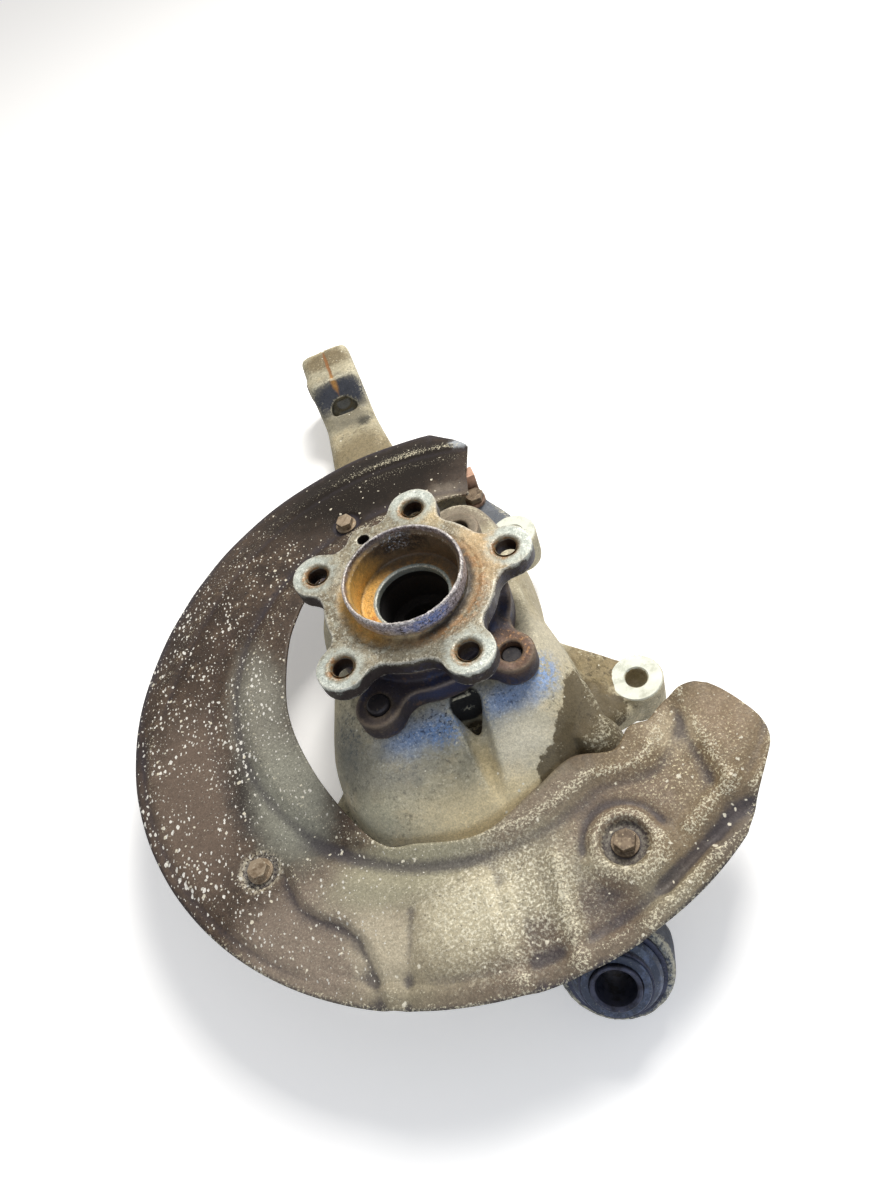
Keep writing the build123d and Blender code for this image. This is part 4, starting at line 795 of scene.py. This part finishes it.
def buildSkin(name, material, body, softness, shape=None, calm=None):
    spec = skins[name]
    copy = bpy.data.objects.new(name + "Source", nodes[name].data.copy())
    bpy.context.scene.collection.objects.link(copy)
    remesh = copy.modifiers.new("remesh", "REMESH")
    remesh.mode = "VOXEL"
    remesh.voxel_size = spec["voxel"] * mm
    mesh = evaluated(copy)
    bpy.data.objects.remove(copy)
    co, a, b = meshArrays(mesh)
    lowest = co[:, 2].min()
    co = relax(co, a, b, spec["passes"], relaxShare * softness(co))
    if shape:
        co = shape(co)
    if spec["waves"]:
        # A casting is never quite true
        x, y, z = co.T
        wave = np.sin(x * 0.13 + 2.1 * np.sin(y * 0.07)) * np.sin(y * 0.11 + z * 0.09 + 0.7)
        wave += 0.5 * np.sin(x * 0.31 + z * 0.2) * np.sin(y * 0.27 + 1.3)
        co[:, 2] += spec["waves"] * wave * softness(co)
    co[:, 2] = np.maximum(co[:, 2], lowest)
    mesh.vertices.foreach_set("co", (co * mm).ravel())
    mesh.update()
    obj = bpy.data.objects.new(name + "Skin", mesh)
    bpy.context.scene.collection.objects.link(obj)
    triangles = sum(len(p.vertices) - 2 for p in mesh.polygons)
    if triangles > spec["triangles"]:
        thin = obj.modifiers.new("thin", "DECIMATE")
        thin.ratio = spec["triangles"] / triangles
        lighter = evaluated(obj)
        obj.modifiers.clear()
        obj.data = lighter
    mesh = obj.data
    mesh.polygons.foreach_set("use_smooth", [True] * len(mesh.polygons))
    co, a, b = meshArrays(mesh)
    normals = np.empty(len(co) * 3)
    mesh.vertices.foreach_get("normal", normals)
    wide = relax(co, a, b, spec["standPasses"], np.full(len(co), relaxShare))
    stand = np.sum((co - wide) * normals.reshape(-1, 3), axis=1)
    storeValue(mesh, "stand", stand * calm(co) if calm else stand)
    place(obj, material, body)
    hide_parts(name)
    print("skin of", name, "triangles", triangles, "kept", len(mesh.polygons))


# Milled ears and the slit of the clamp keep their edges, and so does the bearing's bore
casting = {
    "ears": [(97.0, -57.0), (71.0, 77.5)], "earRadius": 16.0, "earLevel": -83.5, "earSoft": 0.15,
    "boreRadius": 47.0, "boreSoft": 0.1, "slitX": -5.0, "slitHalf": 2.6, "slitFrom": 284, "slitLevel": -104,
    "slitSoft": 0.2,
}


def castSoftness(co):
    c = casting
    soft = np.ones(len(co))
    for earX, earY in c["ears"]:
        away = np.hypot(co[:, 0] - earX, co[:, 1] - earY)
        soft[(away < c["earRadius"]) & (co[:, 2] > c["earLevel"])] = c["earSoft"]
    soft[np.hypot(co[:, 0], co[:, 1]) < c["boreRadius"]] = c["boreSoft"]
    slit = np.abs(co[:, 0] - c["slitX"]) < c["slitHalf"]
    soft[slit & (co[:, 1] > c["slitFrom"]) & (co[:, 2] > c["slitLevel"])] = c["slitSoft"]
    return soft


# Wheel flange: pads round the bolt holes, rubbed and a little higher than the web, and chamfered holes
hubShape = {
    "padHeight": 0.6, "padRadius": 12.0, "padFade": 12.0, "padCentre": 59.0, "webRadius": 39.5,
    "webBlend": (40.5, 4.0), "topLevel": -3.0, "topBlend": (-1.4, 0.6), "bore": 6.3, "chamfer": 1.5,
    "chamferLevel": -2.2, "backLevel": -12.0, "backSoft": 0.1, "holeRadius": 8.2, "holeSoft": 0.25,
    "spigotRadius": 34.5, "spigotLevel": -4, "spigotSoft": 0.5, "calmRadius": 21.5, "calmLevel": -13.0,
}


def hubSoftness(co):
    h = hubShape
    soft = np.ones(len(co))
    soft[co[:, 2] < h["backLevel"]] = h["backSoft"]
    for holeX, holeY in holeSpots:
        soft[np.hypot(co[:, 0] - holeX, co[:, 1] - holeY) < h["holeRadius"]] = h["holeSoft"]
    spigot = (np.hypot(co[:, 0], co[:, 1]) < h["spigotRadius"]) & (co[:, 2] > h["spigotLevel"])
    soft[spigot] = h["spigotSoft"]
    return soft


def shapeHub(co):
    h = hubShape
    x, y, z = co.T
    radius = np.hypot(x, y)
    turn = np.arctan2(y, x)
    ripple = 1.2 * np.sin(5.3 * turn + 0.5) + 0.8 * np.sin(17 * turn) + 0.5 * np.sin(41 * turn + 1.0)
    pad = np.zeros(len(co))
    scale = h["padCentre"] / holeCircle
    for holeX, holeY in holeSpots:
        away = np.hypot(x - holeX * scale, y - holeY * scale)
        pad = np.maximum(pad, 1 - ramp(away - ripple, h["padRadius"], h["padFade"]))
    pad *= ramp(radius, *h["webBlend"])
    # The rubbed pads run out softly into the web
    drawn = z + (-h["padHeight"] * (1 - pad) - z) * ramp(z, *h["topBlend"])
    z = np.where((z > h["topLevel"]) & (radius > h["webRadius"]), drawn, z)
    wide = h["bore"] + h["chamfer"]
    for holeX, holeY in holeSpots:
        away = np.hypot(x - holeX, y - holeY)
        z = np.where((away < wide) & (z > h["chamferLevel"]), np.minimum(z, away - wide), z)
    return np.stack([x, y, z], 1)


def calmBore(co):
    # No wear, painted highlight or painted shade on the edges deep inside the hub
    deep = (np.hypot(co[:, 0], co[:, 1]) < hubShape["calmRadius"]) & (co[:, 2] < hubShape["calmLevel"])
    return 1.0 - deep


def ringSoftness(co):
    # The bearing's bore and face stay turned
    soft = np.ones(len(co))
    soft[np.hypot(co[:, 0], co[:, 1]) < 45.5] = 0.1
    return soft


buildSkin("knuckle", materials["cast"], "carrier", castSoftness)
buildSkin("hub", materials["hub"], "hub", hubSoftness, shapeHub, calmBore)
buildSkin("bearing_outer_ring", materials["bearing"], "carrier", ringSoftness)


def lathe(name, profile, centre, segments=72):
    # Turns a profile of (radius, height) round an upright axis
    verts = []
    for k in range(segments):
        angle = 2 * math.pi * k / segments
        for radius, height in profile:
            at = Vector(centre) + Vector((radius * math.cos(angle), radius * math.sin(angle), height))
            verts.append(at * mm)
    n = len(profile)
    faces = []
    for k in range(segments):
        for j in range(n - 1):
            p, q = k * n + j, ((k + 1) % segments) * n + j
            faces.append((p, q, q + 1, p + 1))
    return meshObject(name, verts, faces)


def sharpen(obj, degrees=32):
    # Flat faces stay flat: edges over this angle are sharp
    bm = bmesh.new()
    bm.from_mesh(obj.data)
    limit = math.radians(degrees)
    for edge in bm.edges:
        edge.smooth = len(edge.link_faces) != 2 or edge.calc_face_angle(0) < limit
    bm.to_mesh(obj.data)
    bm.free()


# Milled faces of the caliper ears, as profiles of (radius, height) over their level
ear = {"radius": 14.7, "bore": 6.25, "edge": 0.6, "level": -79.94, "boreDepth": 24, "wallDepth": 2.2}
for index, (earX, earY) in enumerate(casting["ears"], start=1):
    milled = lathe("earFace%d" % index, [
        (ear["bore"], -ear["boreDepth"]), (ear["bore"], -0.8), (ear["bore"] + 0.7, 0.0),
        (ear["radius"] - ear["edge"], 0.0), (ear["radius"], -ear["edge"]),
        (ear["radius"] - 0.3, -ear["wallDepth"])], (earX, earY, ear["level"]))
    sharpen(milled)
    place(milled, materials["milled"], "carrier")

# Cut threads of the five wheel bolt holes
thread = {"pitch": 1.5, "depth": 0.55, "bore": 6.2, "top": -1.8, "bottom": -10.8, "segments": 48}
for index, (holeX, holeY) in enumerate(holeSpots, start=1):
    profile = []
    level = thread["bottom"]
    while level < thread["top"]:
        profile += [(thread["bore"], level),
                    (thread["bore"] - thread["depth"], level + thread["pitch"] / 2)]
        level += thread["pitch"]
    profile.append((thread["bore"], level))
    wall = lathe("wheelThread%d" % index, profile, (holeX, holeY, 0), thread["segments"])
    place(wall, materials["hub"], "hub")
print("small pieces built")

# Floor, lights and camera: places in metres, the camera's eye in millimetres
studio = {
    "floorLevel": -130.0, "floorSize": 6.0, "floorGrey": 0.80, "paperLift": 0.3, "paperRoughness": 0.9,
    "skyStrength": 0.40, "focal": 27.15, "sensor": 36.0, "nearest": 0.01,
    "eye": (24.57, -314.22, 362.16), "forward": (-0.0174, 0.6318, -0.775), "up": (0.3816, 0.7206, 0.5789),
    "boxes": {
        "key": {"at": (0.58, 0.62, 1.05), "target": (0, 0, -0.08), "size": (0.5, 0.5), "power": 19.5,
                "colour": (1.0, 0.97, 0.92)},
        "front": {"at": (0.1, -1.0, 0.45), "target": (0, -0.05, -0.05), "size": (0.9, 0.35), "power": 2.3,
                  "colour": (0.55, 0.72, 1.0)},
    },
}

wide, low = studio["floorSize"], studio["floorLevel"] * mm
floor = meshObject("floor", [(x * wide, y * wide, low) for x, y in ((-1, -1), (1, -1), (1, 1), (-1, 1))],
                   [(0, 1, 2, 3)], smooth=False)
# Matt white paper
paper = bpy.data.materials.new("white paper")
paper.use_nodes = True
tree = paper.node_tree
shader = tree.nodes["Principled BSDF"]
lightPath = addNode(tree, "LightPath")
seen = addNode(tree, "Math", {0: lightPath.outputs["Is Camera Ray"], 1: lightPath.outputs["Is Glossy Ray"]},
               operation="MAXIMUM")
grey = (studio["floorGrey"],) * 3 + (1,)
floorColour = addNode(tree, "Mix", {0: seen.outputs[0], 6: grey, 7: (1, 1, 1, 1)}, data_type="RGBA")
tree.links.new(floorColour.outputs[2], shader.inputs["Base Color"])
# The camera sees the paper a little whiter than it lights the object
glow = addNode(tree, "Math", {0: lightPath.outputs["Is Camera Ray"], 1: studio["paperLift"]},
               operation="MULTIPLY")
tree.links.new(glow.outputs[0], shader.inputs["Emission Strength"])
shader.inputs["Emission Color"].default_value = (1.0, 0.98, 0.95, 1)
shader.inputs["Roughness"].default_value = studio["paperRoughness"]
shader.inputs["Specular IOR Level"].default_value = 0.0
floor.data.materials.append(paper)

world = bpy.data.worlds.new("studio")
bpy.context.scene.world = world
world.use_nodes = True
sky = world.node_tree.nodes["Background"]
sky.inputs["Color"].default_value = (1.0, 0.99, 0.98, 1)
sky.inputs["Strength"].default_value = studio["skyStrength"]

for name, box in studio["boxes"].items():
    lamp = bpy.data.lights.new(name, "AREA")
    lamp.shape = "RECTANGLE"
    lamp.size, lamp.size_y = box["size"]
    lamp.energy = box["power"]
    lamp.color = box["colour"]
    softBox = bpy.data.objects.new(name, lamp)
    softBox.location = box["at"]
    aim = Vector(box["target"]) - Vector(box["at"])
    softBox.rotation_euler = aim.to_track_quat("-Z", "Y").to_euler()
    bpy.context.scene.collection.objects.link(softBox)

camera = bpy.data.cameras.new("camera")
camera.lens = studio["focal"]
camera.sensor_width = studio["sensor"]
camera.clip_start = studio["nearest"]
cameraObject = bpy.data.objects.new("camera", camera)
backward = -Vector(studio["forward"]).normalized()
right = Vector(studio["up"]).cross(backward).normalized()
upward = backward.cross(right)
cameraObject.matrix_world = Matrix.Translation(Vector(studio["eye"]) * mm) @ Matrix(
    (right, upward, backward)).transposed().to_4x4()
bpy.context.scene.collection.objects.link(cameraObject)
bpy.context.scene.camera = cameraObject
bpy.context.scene.view_settings.view_transform = "Standard"
print("stage set")
